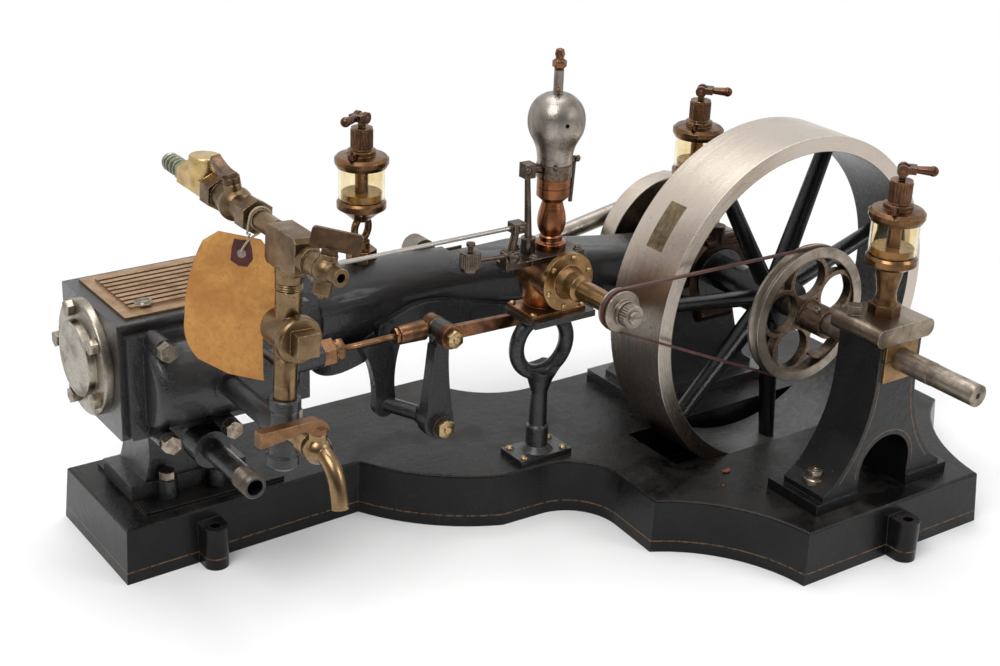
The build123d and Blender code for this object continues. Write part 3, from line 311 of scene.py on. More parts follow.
# Turning marks: fine rings left by the lathe about a piece's own axis, one beside the
# other along round walls and one inside the other on end faces.
lathe, l_in, l_out = new_group(
    "turning marks",
    [("Vector", "NodeSocketVector", None), ("Centre", "NodeSocketVector", (0, 0, 0)),
     ("Across", "NodeSocketVector", (1, 0, 1))],
    [("Height", "NodeSocketFloat")],
)
off_axis = on_vectors(lathe, "SUBTRACT", l_in.outputs["Vector"], l_in.outputs["Centre"])
flat = on_vectors(lathe, "MULTIPLY", off_axis, l_in.outputs["Across"])
radius = on_vectors(lathe, "LENGTH", flat, result="Value")
axis_way = on_vectors(lathe, "SUBTRACT", (1, 1, 1), l_in.outputs["Across"])
length_along = on_vectors(lathe, "DOT_PRODUCT", off_axis, axis_way, "Value")
face_way = put(lathe, "ShaderNodeNewGeometry").outputs["Normal"]
facing = on_vectors(lathe, "DOT_PRODUCT", face_way, axis_way, "Value")
end_face = mask_range(lathe, reckon(lathe, "ABSOLUTE", facing), 0.70, 0.72)
cut = put(lathe, "ShaderNodeMix", [(0, end_face), (2, length_along), (3, radius)])
groove = put(lathe, "ShaderNodeTexNoise", [("W", reckon(lathe, "MULTIPLY", cut.outputs[0], 1500.0)),
                                           ("Detail", 3.0)], noise_dimensions="1D")
lathe.links.new(groove.outputs["Fac"], l_out.inputs["Height"])


def metal(name, clean, dirty, rough, tarnish=0.6, scale=55.0, low=0.40, high=0.64, bright=None, axis=None,
          grime_and_shade=0.8, marks=None, painted=None):
    """A bare metal with tarnish in blotches, dirt and painted shade in its corners and handled edges."""
    mat, tree, shader, place = start_finish(name, clean, 1.0, rough)
    dirt = blotches(tree, place, scale, low, high)
    wear = use_group(tree, worn, [("Vector", place)])
    stain = reckon(tree, "MULTIPLY", dirt.outputs["Mask"], tarnish)
    pits = mask_range(tree, dirt.outputs["Fine"], 0.58, 0.70, 0.0, tarnish)
    both = reckon(tree, "MAXIMUM", stain, pits)
    # Corners found by ambient occlusion take the dirty tone: dirt and painted shade.
    both = reckon(tree, "MAXIMUM", both, reckon(tree, "MULTIPLY", wear.outputs["Corner"], grime_and_shade))
    if axis:
        centre, across = axis
        rings = use_group(tree, lathe, [("Vector", place), ("Centre", Vector(centre) * mm),
                                        ("Across", across)])
        streak = mask_range(tree, rings.outputs["Height"], 0.45, 0.7, 0.0, 0.45)
        both = reckon(tree, "MAXIMUM", both, streak)
    colour = mix_colour(tree, both, clean, dirty)
    if bright:
        colour = mix_colour(tree, wear.outputs["Edge"], colour, bright)
    if marks:
        colour = marks(tree, place, dirt.outputs["Fine"], colour)
    tree.links.new(colour, shader.inputs["Base Color"])
    tree.links.new(mask_range(tree, both, 0.0, 1.0, rough, min(rough + 0.3, 1.0)), shader.inputs["Roughness"])
    if painted:
        bare = reckon(tree, "SUBTRACT", 1.0, painted(tree, place))
        tree.links.new(bare, shader.inputs["Metallic"])
    scratch = put(tree, "ShaderNodeTexNoise", [("Vector", place), ("Scale", 700.0), ("Detail", 3.0)])
    height = scratch.outputs["Fac"]
    if axis:
        height = reckon(tree, "ADD", reckon(tree, "MULTIPLY", height, 0.15), rings.outputs["Height"])
    relief(tree, shader, height, 0.16, 0.0004, [("Normal", wear.outputs["Normal"])])
    return mat


# Cylinder cover: a turned nickelled disc with a raised middle, held by hexagon bolts
# like those of the foot and the chest.
cover_axis = ((0, 61, 141), (0, 1, 1))
cover_nickel = metal("cover nickel", (0.40, 0.36, 0.30), (0.085, 0.06, 0.04), 0.2, tarnish=0.8,
                     bright=(0.60, 0.55, 0.48), axis=cover_axis)
paint(cover_nickel, "cylinder_cover")
bolt_nickel = metal("bolt nickel", (0.34, 0.29, 0.23), (0.07, 0.048, 0.03), 0.22, tarnish=0.8, scale=140.0,
                    bright=(0.55, 0.51, 0.45))
paint(bolt_nickel, "cylinder_bolts")

# Lagging plate: a ribbed bronze casting on top of the cylinder, held by a slotted
# screw that stands in a round clearing among the ribs.
lagging_bronze = metal("lagging bronze", (0.44, 0.29, 0.17), (0.12, 0.07, 0.04), 0.34, scale=80.0,
                       bright=(0.52, 0.38, 0.25))
paint(lagging_bronze, "lagging_plate")


def newer(mesh, before):
    """The vertices made since a set of them was taken."""
    return [v for v in mesh.verts if v not in before]


def slotted_head(mesh, place, r, height, slot):
    """A round screw head with a slot across it."""
    before = set(mesh.verts)
    bmesh.ops.create_cone(mesh, cap_ends=True, segments=32, radius1=r, radius2=0.86 * r, depth=height,
                          matrix=Matrix.Translation((0, 0, height / 2)))
    for side in (-1, 1):
        new_verts = newer(mesh, before)
        geom = new_verts + list({e for v in new_verts for e in v.link_edges})
        geom += list({f for v in new_verts for f in v.link_faces})
        bmesh.ops.bisect_plane(mesh, geom=geom, plane_co=(0, side * slot / 2, 0), plane_no=(0, 1, 0))
    top = [f for f in {f for v in newer(mesh, before) for f in v.link_faces}
           if f.calc_center_median().z > height - 0.01 and abs(f.calc_center_median().y) < slot / 4]
    bmesh.ops.inset_individual(mesh, faces=top, thickness=0.01, depth=-0.4 * height)
    bmesh.ops.transform(mesh, matrix=place, verts=newer(mesh, before))


screw_x = -433.2
screw_y = 35.4
screw = bmesh.new()
slotted_head(screw, at(screw_x, screw_y, 180.4), 4.8, 3.2, 1.2)
bmesh.ops.create_cone(screw, cap_ends=True, segments=32, radius1=6.2, radius2=6.2, depth=1.0,
                      matrix=Matrix.Translation((screw_x, screw_y, 182.0)))
add_piece("lagging_screw", screw, bolt_nickel)

# Exhaust pipe: a length of black iron pipe screwed into the foot of the steam chest and
# painted with it, with a bare thread cut on its open end.
paint(engine_enamel, "exhaust_pipe")
thread_steel = metal("thread steel", (0.17, 0.14, 0.115), (0.04, 0.03, 0.025), 0.4, scale=150.0)


def turn_profile(mesh, profile, place, steps=36, closed=False):
    """A profile of (radius, height) points spun about the place's axis."""
    before = set(mesh.verts)
    line = [mesh.verts.new((r, 0, h)) for r, h in profile]
    edges = [mesh.edges.new(pair) for pair in zip(line, line[1:])]
    if closed:
        edges.append(mesh.edges.new((line[-1], line[0])))
    bmesh.ops.spin(mesh, geom=line + edges, axis=(0, 0, 1), cent=(0, 0, 0), steps=steps, angle=math.tau,
                   use_merge=True, use_duplicate=False)
    bmesh.ops.transform(mesh, matrix=place, verts=newer(mesh, before))


def thread_on(mesh, place, r, length, pitch, depth=0.55):
    """Thread ridges over a round end."""
    profile = [(r - 0.4, 0)]
    for k in range(int(length / pitch)):
        profile += [(r, k * pitch), (r + depth, (k + 0.5) * pitch)]
    profile += [(r, length), (r - 0.4, length)]
    turn_profile(mesh, profile, place, closed=True)


thread = bmesh.new()
thread_on(thread, at(-408, -66.2, 88, (0, 1, 0)), 7.25, 18, 1.5)
add_piece("exhaust_thread", thread, thread_steel)

# Tee and inlet pipe: a cast tee of malleable iron on a short pipe, screwed into the
# steam chest and painted with it.
paint(engine_enamel, "steam_tee")

# Riser, throttle valve and pipe block: brass fittings screwed one into the other,
# handled to an olive brown, with threads showing under the block.
pipe_brass = metal("pipe brass", (0.24, 0.16, 0.085), (0.045, 0.026, 0.015), 0.22, tarnish=0.85, scale=48.0,
                   low=0.36, high=0.70, bright=(0.48, 0.37, 0.21))
paint(pipe_brass, "steam_riser", "throttle_valve_body", "pipe_block")
riser_x = -400.0
riser_y = -90.0
tee_axis = Vector((riser_x, 0, 137))
lean = Matrix.Rotation(math.radians(3), 4, "Y")
leaned = Matrix.Translation(tee_axis) @ lean @ Matrix.Translation(-tee_axis)
necks = bmesh.new()
thread_on(necks, leaned @ at(riser_x, riser_y, 228.3), 7.5, 4.6, 1.5, 0.9)
thread_on(necks, leaned @ at(riser_x, riser_y, 183.5), 7.3, 3.4, 1.1, 0.5)
add_piece("riser_threads", necks, pipe_brass)

# Petcock and its paddle: a small turned cock on the block's front, the plug held from
# below by a nut.
paint(pipe_brass, "petcock")
lever_brown = metal("handle brown", (0.135, 0.083, 0.05), (0.045, 0.028, 0.018), 0.3, scale=110.0,
                    bright=(0.30, 0.20, 0.12))
paint(lever_brown, "petcock_lever")
petcock_yaw = math.radians(5)
petcock_reach = 19.0
ball_x = riser_x + petcock_reach * math.sin(petcock_yaw)
ball_y = -110 - petcock_reach * math.cos(petcock_yaw)
plug_tilt = math.radians(10)
plug_way = Vector((math.sin(plug_tilt), 0, math.cos(plug_tilt)))


def hex_nut(mesh, place, flats, height, stud=0.0, soft=0.5):
    """A hexagon with softened corners, and the end of its stud where it has one."""
    outer = flats / 2 / math.cos(math.radians(30))
    before = set(mesh.verts)
    made = bmesh.ops.create_cone(mesh, cap_ends=True, segments=6, radius1=outer, radius2=outer, depth=height,
                                 matrix=Matrix.Translation((0, 0, height / 2)))
    edges = list({e for v in made["verts"] for e in v.link_edges})
    bmesh.ops.bevel(mesh, geom=edges, offset=soft, affect="EDGES", segments=2, profile=0.5, material=-1)
    if stud:
        bmesh.ops.create_cone(mesh, cap_ends=True, segments=24, radius1=stud, radius2=0.8 * stud,
                              depth=height + 1.6, matrix=Matrix.Translation((0, 0, height / 2 + 0.8)))
    bmesh.ops.transform(mesh, matrix=place, verts=newer(mesh, before))


plug_nut = bmesh.new()
low_end = Vector((ball_x, ball_y, 253)) - plug_way * 12.5
hex_nut(plug_nut, leaned @ at(*low_end, -plug_way), 8.5, 2.4, 2.0)
add_piece("petcock_nut", plug_nut, pipe_brass)

# Steam cock: hexagon ends on a round body, with pale jointing on the thread where the
# pipe enters, and a cranked key on its plug.
paint(pipe_brass, "steam_cock")
paint(lever_brown, "steam_cock_lever")
jointing = metal("thread jointing", (0.42, 0.37, 0.27), (0.20, 0.15, 0.09), 0.5, scale=200.0)
branch_z = 259.0
joint_thread = bmesh.new()
thread_on(joint_thread, leaned @ at(riser_x, -53.5, branch_z, (0, 1, 0)), 6.25, 4.4, 1.1, 0.6)
thread_on(joint_thread, leaned @ at(riser_x, 8.9, branch_z, (0, 1, 0)), 8.0, 1.6, 0.8, 0.3)
add_piece("cock_threads", joint_thread, jointing)

# Check valve: newer bright brass, hexagonal, with a round cap; its hose nipple has
# gone a dull grey green.
check_tones = {"clean": (0.62, 0.44, 0.19), "dirty": (0.20, 0.12, 0.05), "rough": 0.2, "scale": 70.0,
               "bright": (0.85, 0.66, 0.36)}
check_brass = metal("check valve brass", **check_tones)


def mottled(tree, fine, first, second):
    """Two tones that run into each other in fine spots."""
    return mix_colour(tree, mask_range(tree, fine, 0.4, 0.6), first, second)


def nipple_bloom(tree, place, fine, colour):
    """The grey green bloom over the nipple's end."""
    past = mask_range(tree, height_of(tree, place, "Y"), 45.5, 46.5)
    return mix_colour(tree, past, colour, mottled(tree, fine, (0.30, 0.32, 0.22), (0.16, 0.16, 0.10)))


check_body = metal("check valve body", marks=nipple_bloom, **check_tones)
paint(check_body, "check_valve")
nipple_metal = metal("nipple", (0.33, 0.34, 0.25), (0.13, 0.12, 0.08), 0.36, scale=160.0,
                     bright=(0.48, 0.48, 0.40))
nipple = bmesh.new()
hex_nut(nipple, leaned @ at(riser_x, 47, branch_z, (0, 1, 0)), 13.0, 6.0)
for y in (56, 61, 66):
    turn_profile(nipple, [(4.6, 0), (6.3, 0.5), (6.3, 1.2), (5.2, 4.2), (4.6, 4.2)],
                 leaned @ at(riser_x, y, branch_z, (0, 1, 0)), closed=True)
turn_profile(nipple, [(3.2, 0), (5.6, 0), (6.2, 1.4), (5.6, 3.6), (4.4, 4.6), (3.2, 4.2)],
             leaned @ at(riser_x, 71, branch_z, (0, 1, 0)), closed=True)
add_piece("hose_nipple", nipple, nipple_metal)
cap_top = bmesh.new()
turn_profile(cap_top, [(0, 0), (9.0, 0), (10.3, 0.6), (10.3, 2.6), (9.4, 3.5), (0, 3.7)],
             leaned @ at(riser_x, 22.5, 274.2))
add_piece("check_valve_cap", cap_top, check_brass)

# Drain cock: polished brass body and curved spout, with a flat copper-brown lever
# fixed by a small round screw.
drain_brass = metal("drain brass", (0.31, 0.205, 0.105), (0.06, 0.036, 0.02), 0.17, tarnish=0.7, scale=42.0,
                    bright=(0.55, 0.42, 0.24))
paint(drain_brass, "drain_cock")
lever_copper = metal("lever copper", (0.24, 0.13, 0.065), (0.085, 0.045, 0.025), 0.3, tarnish=0.6, scale=60.0,
                     bright=(0.50, 0.30, 0.16))
paint(lever_copper, "drain_cock_lever")

# Girder frame: the engine's backbone, an enamelled iron casting from the trunk guide
# to the main bearing.
paint(engine_enamel, "girder_frame")

# Piston rod, crosshead and connecting rod: bright steel, turned and forged and greyed by
# old oil. The crosshead slides in the girder's trunk and is darker.
rod_steel = metal("rod steel", (0.44, 0.40, 0.35), (0.17, 0.13, 0.095), 0.25, tarnish=0.6, scale=40.0)
paint(rod_steel, "piston_rod", "connecting_rod")
guide_steel = metal("crosshead steel", (0.30, 0.27, 0.23), (0.08, 0.06, 0.045), 0.32)
paint(guide_steel, "crosshead")

# Valve rod and gland: copper-coloured bronze. The gland has two hexagons with its
# thread between them, and the rod's socket has a locknut.
copper = metal("valve gear copper", (0.27, 0.14, 0.07), (0.045, 0.024, 0.015), 0.18, tarnish=0.85, scale=60.0,
               low=0.36, high=0.66, bright=(0.62, 0.34, 0.19))
paint(copper, "valve_rod_gland", "valve_rod")
gland = bmesh.new()
thread_on(gland, at(-322.2, -10, 140, (1, 0, 0)), 6.6, 3.6, 1.2)
hex_nut(gland, at(-318.8, -10, 140, (1, 0, 0)), 14.0, 4.6)
hex_nut(gland, at(-273.2, -10, 140, (1, 0, 0)), 10.5, 3.6)
add_piece("gland_nuts", gland, copper)

# Rocker and its bracket: enamelled iron forgings. The bracket hangs from the girder, and
# brass nuts hold the rocker's pins at both ends.
paint(engine_enamel, "rocker_arm", "rocker_bracket")
nut_brass = metal("nut brass", (0.50, 0.36, 0.18), (0.13, 0.085, 0.045), 0.24, scale=160.0,
                  bright=(0.66, 0.52, 0.31))
nuts = bmesh.new()
hex_nut(nuts, at(-240, -31.8, 140, (0, -1, 0)), 11.4, 5.0, 3.0)
hex_nut(nuts, at(-243, -27.8, 71, (0, -1, 0)), 12.4, 5.2, 3.2)
add_piece("rocker_nuts", nuts, nut_brass)

# Eccentric: the black sheave turns in a copper-coloured strap, whose flat rod drives
# the rocker's top pin.


def oiled_strap(tree, place, fine, colour):
    """The strap, blackened by oil where the rod meets it."""
    by_strap = mask_range(tree, height_of(tree, place, "X"), -75.0, -40.0, 0.0, 0.9)
    return mix_colour(tree, by_strap, colour, (0.026, 0.018, 0.014))


strap_bronze = metal("strap bronze", (0.25, 0.115, 0.058), (0.028, 0.02, 0.016), 0.22, tarnish=0.95,
                     scale=38.0, low=0.38, high=0.58, bright=(0.45, 0.24, 0.14), marks=oiled_strap)
paint(strap_bronze, "eccentric_rod")
paint(engine_enamel, "eccentric_sheave")

# Bearing pedestals: enamelled castings with gilt lines along their front edges and
# round the arch, held down by nickelled bolts in the feet.
pedestal_front = -215.0
neck_half = 19.5
neck_z = 125.0
arch_z = 60.0
arch_line_r = 27.6
line_in = 3.6
line_half = 0.3


def circle_through(a, b, c):
    """Centre and radius of the circle through three points."""
    d = 2 * (a[0] * (b[1] - c[1]) + b[0] * (c[1] - a[1]) + c[0] * (a[1] - b[1]))
    sq = [p[0] ** 2 + p[1] ** 2 for p in (a, b, c)]
    x = (sq[0] * (b[1] - c[1]) + sq[1] * (c[1] - a[1]) + sq[2] * (a[1] - b[1])) / d
    z = (sq[0] * (c[0] - b[0]) + sq[1] * (a[0] - c[0]) + sq[2] * (b[0] - a[0])) / d
    return x, z, math.hypot(a[0] - x, a[1] - z)


flank_x, flank_z, flank_r = circle_through((neck_half, neck_z), (27.5, 88), (48, 57))


def pedestal_lines(tree, place, fine, colour):
    """Worn gilt lines on the front face, beside the flanks and over the arch."""
    front = mask_range(tree, height_of(tree, place, "Y"), pedestal_front + 0.4, pedestal_front + 0.1)
    z = height_of(tree, place)
    low = mask_range(tree, z, 57.0, 58.0)
    from_arch = distance_from(tree, place, (0, 0, arch_z), (1, 0, 1))
    lines = reckon(tree, "MULTIPLY", near(tree, from_arch, arch_line_r, line_half),
                   mask_range(tree, z, arch_z - 4, arch_z - 3))
    for side in (-1, 1):
        from_flank = distance_from(tree, place, (side * flank_x, 0, flank_z), (1, 0, 1))
        flank = near(tree, from_flank, flank_r + line_in, line_half)
        flank = reckon(tree, "MULTIPLY", flank, mask_range(tree, z, neck_z, neck_z - 1))
        upright = near(tree, height_of(tree, place, "X"), side * (neck_half - line_in), line_half)
        upright = reckon(tree, "MULTIPLY", upright, mask_range(tree, z, neck_z - 1, neck_z))
        edge = reckon(tree, "MULTIPLY", reckon(tree, "MAXIMUM", flank, upright), low)
        lines = reckon(tree, "MAXIMUM", lines, edge)
    rubbed = reckon(tree, "MULTIPLY", front, mask_range(tree, fine, 0.38, 0.5))
    return mix_colour(tree, reckon(tree, "MULTIPLY", lines, rubbed), colour, gilt)


pedestal_enamel = enamel("pedestal enamel", dust=0.3, rough=0.16, lumps=0.5, gloss=0.25, coat=0.1,
                         marks=pedestal_lines)
paint(pedestal_enamel, "outboard_bearing_pedestal")
paint(engine_enamel, "main_bearing_pedestal")
foot_bolt_x = 47
foot_bolts = bmesh.new()
for y in (-196, 3):
    for x in (-foot_bolt_x, foot_bolt_x):
        turn_profile(foot_bolts, [(0, 0), (8.4, 0), (8.4, 7.0), (7.6, 7.8), (0, 7.8)], at(x, y, 49))
        hex_nut(foot_bolts, at(x, y, 56.4), 10.5, 5.4, 2.6)
add_piece("pedestal_bolts", foot_bolts, bolt_nickel)

# Bearing brasses and caps: split brasses between the pedestal's cheeks, under rounded
# nickelled caps.
shaft_z = 142.2


def split_line(tree, place, fine, colour):
    """The dark joint between the two halves of a brass."""
    return mix_colour(tree, near(tree, height_of(tree, place), shaft_z, 0.22), colour, (0.02, 0.013, 0.008))


bearing_brass = metal("bearing brass", (0.31, 0.19, 0.09), (0.10, 0.055, 0.025), 0.3, scale=60.0,
                      bright=(0.52, 0.36, 0.18), marks=split_line)
paint(bearing_brass, "bearing_brasses")
cap_nickel = metal("cap nickel", (0.31, 0.25, 0.19), (0.07, 0.048, 0.03), 0.22, tarnish=0.75, scale=45.0,
                   bright=(0.52, 0.47, 0.40))
paint(cap_nickel, "bearing_caps")

# Crankshaft: one turned steel bar that runs in both bearings, worn bright and brown, with
# a turner's centre in its drive end.
shaft_axis = ((0, 0, shaft_z), (1, 0, 1))
drive_end_y = -283


def shaft_centre(tree, place, fine, colour):
    """The countersunk centre in the end of the shaft, painted as a dark spot of shade."""
    # The dark spot is painted shade for the hollow of the centre.
    hole = mask_range(tree, distance_from(tree, place, (0, drive_end_y, shaft_z)), 2.3, 1.8)
    return mix_colour(tree, hole, colour, (0.03, 0.015, 0.01))


shaft_steel = metal("shaft steel", (0.38, 0.33, 0.27), (0.10, 0.07, 0.05), 0.28, tarnish=0.85, scale=75.0,
                    low=0.38, high=0.6, marks=shaft_centre)
paint(shaft_steel, "crankshaft")

# Crank disc: a turned iron disc on the far end of the shaft, bright on its rim and brown
# with old oil on its face.
disc_bright_r = 54.6


def from_shaft(tree, place):
    """How far a point is from the shaft's axis."""
    return distance_from(tree, place, *shaft_axis)


def disc_face(tree, place, fine, colour):
    """The brown, oily face inside the bright rim."""
    inside = mask_range(tree, from_shaft(tree, place), disc_bright_r + 0.8, disc_bright_r)
    return mix_colour(tree, inside, colour, mottled(tree, fine, (0.062, 0.043, 0.033), (0.10, 0.075, 0.055)))


disc_steel = metal("crank disc steel", (0.60, 0.53, 0.46), (0.30, 0.22, 0.15), 0.26, tarnish=0.45,
                   axis=shaft_axis, marks=disc_face)
paint(disc_steel, "crank_disc")

# Flywheel: a bright turned rim on seven enamelled spokes. The inside of the rim is
# painted, a bare patch shows old metal, and the wheel's foot has stain and painted shade.
rim_in_r = 115.9
rim_face_r = 126.0
patch_turn = (137.6, 153.2)
patch_y = (-94.2, -78.5)


def rim_inside(tree, place):
    """Where the rim's inner wall is painted."""
    return mask_range(tree, from_shaft(tree, place), rim_in_r + 0.35, rim_in_r + 0.2)


def rim_marks(tree, place, fine, colour):
    """The stain and painted shade low on the wheel, the old patch and the painted inner wall."""
    z = height_of(tree, place)
    # Towards the foot of the wheel the rim goes darker: stain and painted shade.
    ragged = reckon(tree, "MULTIPLY", reckon(tree, "SUBTRACT", fine, 0.5), 90.0)
    low = mask_range(tree, reckon(tree, "ADD", z, ragged), 118.0, 55.0, 0.0, 0.85)
    colour = mix_colour(tree, low, colour, (0.15, 0.11, 0.08))
    parts = put(tree, "ShaderNodeSeparateXYZ", [(0, place)])
    rise = reckon(tree, "SUBTRACT", parts.outputs["Z"], shaft_z * mm)
    bearing = reckon(tree, "ARCTAN2", rise, parts.outputs["X"])
    turn_mid = math.radians(sum(patch_turn) / 2)
    turn_half = math.radians(patch_turn[1] - patch_turn[0]) / 2
    along = near(tree, bearing, turn_mid, turn_half, 0.006)
    side = near(tree, height_of(tree, place, "Y"), sum(patch_y) / 2, (patch_y[1] - patch_y[0]) / 2, 0.3)
    patch = mix_colour(tree, mask_range(tree, fine, 0.35, 0.62), (0.11, 0.078, 0.045), (0.25, 0.19, 0.12))
    outer = mask_range(tree, from_shaft(tree, place), rim_face_r, rim_face_r + 0.6)
    here = reckon(tree, "MULTIPLY", reckon(tree, "MULTIPLY", along, side), outer)
    colour = mix_colour(tree, here, colour, patch)
    grey = mottled(tree, fine, (0.045, 0.045, 0.047), (0.085, 0.08, 0.075))
    return mix_colour(tree, rim_inside(tree, place), colour, grey)


rim_steel = metal("rim steel", (0.60, 0.53, 0.455), (0.27, 0.21, 0.155), 0.22, tarnish=0.4, scale=26.0,
                  low=0.48, high=0.78, bright=(0.85, 0.80, 0.74), axis=shaft_axis, marks=rim_marks,
                  painted=rim_inside)
paint(rim_steel, "flywheel_rim")
spoke_enamel = enamel("spoke enamel", dust=0.2, rough=0.14, lumps=0.3, gloss=0.3, coat=0.1)
paint(spoke_enamel, "flywheel_spokes")

# Large belt pulley: a grooved steel rim, brighter than its cast eyes and hub, with a
# set screw in the hub.
pulley_rim_r = 43.0


def pulley_web(tree, place, fine, colour):
    """The browner casting inside the rim."""
    inside = mask_range(tree, from_shaft(tree, place), pulley_rim_r + 0.6, pulley_rim_r)
    return mix_colour(tree, inside, colour, mottled(tree, fine, (0.20, 0.145, 0.10), (0.10, 0.07, 0.05)))


pulley_steel = metal("belt pulley steel", (0.40, 0.35, 0.29), (0.12, 0.085, 0.06), 0.28, tarnish=0.7,
                     bright=(0.56, 0.52, 0.46), axis=shaft_axis, marks=pulley_web)
paint(pulley_steel, "belt_pulley")
set_screw = bmesh.new()
slotted_head(set_screw, at(-6.2, -142, 151.5, (-0.55, 0, 0.83)), 2.8, 2.4, 0.8)
add_piece("pulley_set_screw", set_screw, bolt_nickel, body="shaft")

# Governor stand: an enamelled casting with a round eye, screwed to the bed by brass
# screws with domed heads.
paint(engine_enamel, "governor_stand")


def dome(mesh, place, r, height):
    """A domed screw head."""
    profile = [(0, 0), (r, 0), (r, 0.25 * height), (0.86 * r, 0.62 * height), (0.5 * r, 0.9 * height),
               (0, height)]
    turn_profile(mesh, profile, place, steps=20)


gov_x = -172.0
gov_y = -42.5
stand_screws = bmesh.new()
for x, y in ((-17, -9), (17, -9), (-17, 9), (17, 9)):
    dome(stand_screws, at(gov_x + x, gov_y + y, 42.5), 2.9, 2.2)
add_piece("stand_screws", stand_screws, nut_brass)

# Governor gear housing: a bronze casting with a screwed flange that carries the
# small pulley's spindle in a long turned neck.
housing_bronze = metal("housing bronze", (0.36, 0.17, 0.072), (0.06, 0.032, 0.018), 0.22, tarnish=0.8,
                       scale=60.0, bright=(0.52, 0.32, 0.16))
paint(housing_bronze, "governor_gearbox")
neck_bronze = metal("neck bronze", (0.33, 0.20, 0.09), (0.08, 0.042, 0.02), 0.22, tarnish=0.7, scale=60.0,
                    bright=(0.60, 0.40, 0.20))
paint(neck_bronze, "governor_shaft_bearing")
flange_face = gov_y - 28
drive_x = gov_x - 1
drive_z = 181
screw_circle_r = 17.2
housing_screws = bmesh.new()
for k in range(6):
    a = math.radians(20 + 60 * k)
    x = drive_x + screw_circle_r * math.cos(a)
    z = drive_z + screw_circle_r * math.sin(a)
    dome(housing_screws, at(x, flange_face, z, (0, -1, 0)), 1.9, 1.5)
for x, y in ((-20.5, -16.5), (19.5, -16.5), (-20.5, 8.5), (19.5, 8.5)):
    dome(housing_screws, at(gov_x + x, gov_y + y, 156.4), 2.3, 2.0)
add_piece("housing_screws", housing_screws, nut_brass)

# Small governor pulley: turned steel on the spindle in the neck, held by a knurled collar
# with a slotted screw in its end.
drive_axis = ((drive_x, 0, drive_z), (1, 0, 1))
small_pulley_steel = metal("small pulley steel", (0.33, 0.28, 0.23), (0.08, 0.055, 0.04), 0.22, scale=90.0,
                           bright=(0.58, 0.54, 0.48), axis=drive_axis)
paint(small_pulley_steel, "governor_pulley")


def knurled(mesh, place, r, depth, height, teeth):
    """A round grip with straight teeth."""
    made = bmesh.ops.create_cone(mesh, cap_ends=True, segments=4 * teeth, radius1=r, radius2=r, depth=height,
                                 matrix=Matrix.Translation((0, 0, height / 2)))
    for vert in made["verts"]:
        step = round(math.atan2(vert.co.y, vert.co.x) / math.tau * 4 * teeth) % 4
        if step in (0, 1):
            vert.co.x *= 1 - depth / r
            vert.co.y *= 1 - depth / r
    bmesh.ops.transform(mesh, matrix=place, verts=made["verts"])


collar = bmesh.new()
knurled(collar, at(drive_x, -134.2, drive_z, (0, -1, 0)), 8.1, 0.6, 6.2, 26)
slotted_head(collar, at(drive_x, -140.6, drive_z, (0, -1, 0)), 5.0, 2.2, 0.9)
add_piece("pulley_collar", collar, small_pulley_steel, body="governor_drive")

# Governor deck: a dark steel plate laid over the housing, held by a domed screw on a
# washer at each corner.
deck_steel = metal("deck steel", (0.13, 0.105, 0.085), (0.035, 0.027, 0.022), 0.34, bright=(0.28, 0.24, 0.20))
paint(deck_steel, "governor_top_plate")
deck_screws = bmesh.new()
for x, y in ((-18.5, -10.5), (18.5, -10.5), (-18.5, 10.5), (18.5, 10.5)):
    washer_at = at(gov_x + x, gov_y + y, 195.8)
    turn_profile(deck_screws, [(0, 0), (3.1, 0), (3.1, 1.0), (0, 1.0)], washer_at, steps=20)
    dome(deck_screws, at(gov_x + x, gov_y + y, 196.6), 2.4, 2.6)
add_piece("deck_screws", deck_screws, deck_steel)

# Governor column: polished copper-coloured bronze, turned like a vase, with a darker
# steel collar at the top.
spindle_x = -169
spindle_axis = ((spindle_x, gov_y, 0), (1, 1, 0))


def column_bands(tree, place, fine, colour):
    """Grooves on the copper as dark lines of painted shade, and the steel collar over it."""
    z = height_of(tree, place)
    # The grooves are dark lines of painted shade.
    grooves = reckon(tree, "MAXIMUM", near(tree, z, 240.5, 0.25), near(tree, z, 204.8, 0.35))
    colour = mix_colour(tree, grooves, colour, (0.06, 0.025, 0.015))
    collar_tone = mottled(tree, fine, (0.09, 0.062, 0.045), (0.18, 0.14, 0.105))
    return mix_colour(tree, mask_range(tree, z, 247.2, 247.6), colour, collar_tone)


column_copper = metal("column copper", (0.31, 0.125, 0.055), (0.07, 0.032, 0.018), 0.16, tarnish=0.65,
                      scale=50.0, bright=(0.68, 0.36, 0.19), axis=spindle_axis, marks=column_bands)
paint(column_copper, "governor_column")

# Governor head: the satin steel bulb that hides the balls, with a pin hole in its
# side, a plain spindle and a copper-brown knob.
pin_hole = (-173.9, -60.9, 287.5)
knob_foot = 320.2


def head_tones(tree, place, fine, colour):
    """The pin hole, a black spot of painted shade, and the browner knob."""
    z = height_of(tree, place)
    knob_tone = mottled(tree, fine, (0.24, 0.12, 0.07), (0.10, 0.05, 0.03))
    colour = mix_colour(tree, mask_range(tree, z, knob_foot - 0.3, knob_foot + 0.1), colour, knob_tone)
    # The pin hole is a near-black spot of painted shade.
    hole = mask_range(tree, distance_from(tree, place, pin_hole), 1.6, 1.3)
    return mix_colour(tree, hole, colour, (0.004, 0.003, 0.003))


head_steel = metal("governor head steel", (0.40, 0.36, 0.32), (0.10, 0.082, 0.066), 0.2, tarnish=0.85,
                   scale=45.0, low=0.36, high=0.66, axis=spindle_axis, marks=head_tones)
paint(head_steel, "governor_head")
head_parts = bmesh.new()
dome(head_parts, at(-171.0, -45.4, 307.5, (-0.58, -0.81, 0.05)), 1.7, 1.6)
hex_nut(head_parts, at(spindle_x, gov_y, 322.4), 8.6, 4.4, soft=0.4)
add_piece("head_screw_and_nut", head_parts, copper, body="governor_spindle")

# Governor linkage: dark worn steel levers and a bright speed rod, with pins in the
# clevises and a knurled weight on the bell crank.
speed_rod_z = 221.5
crank_x = gov_x - 39


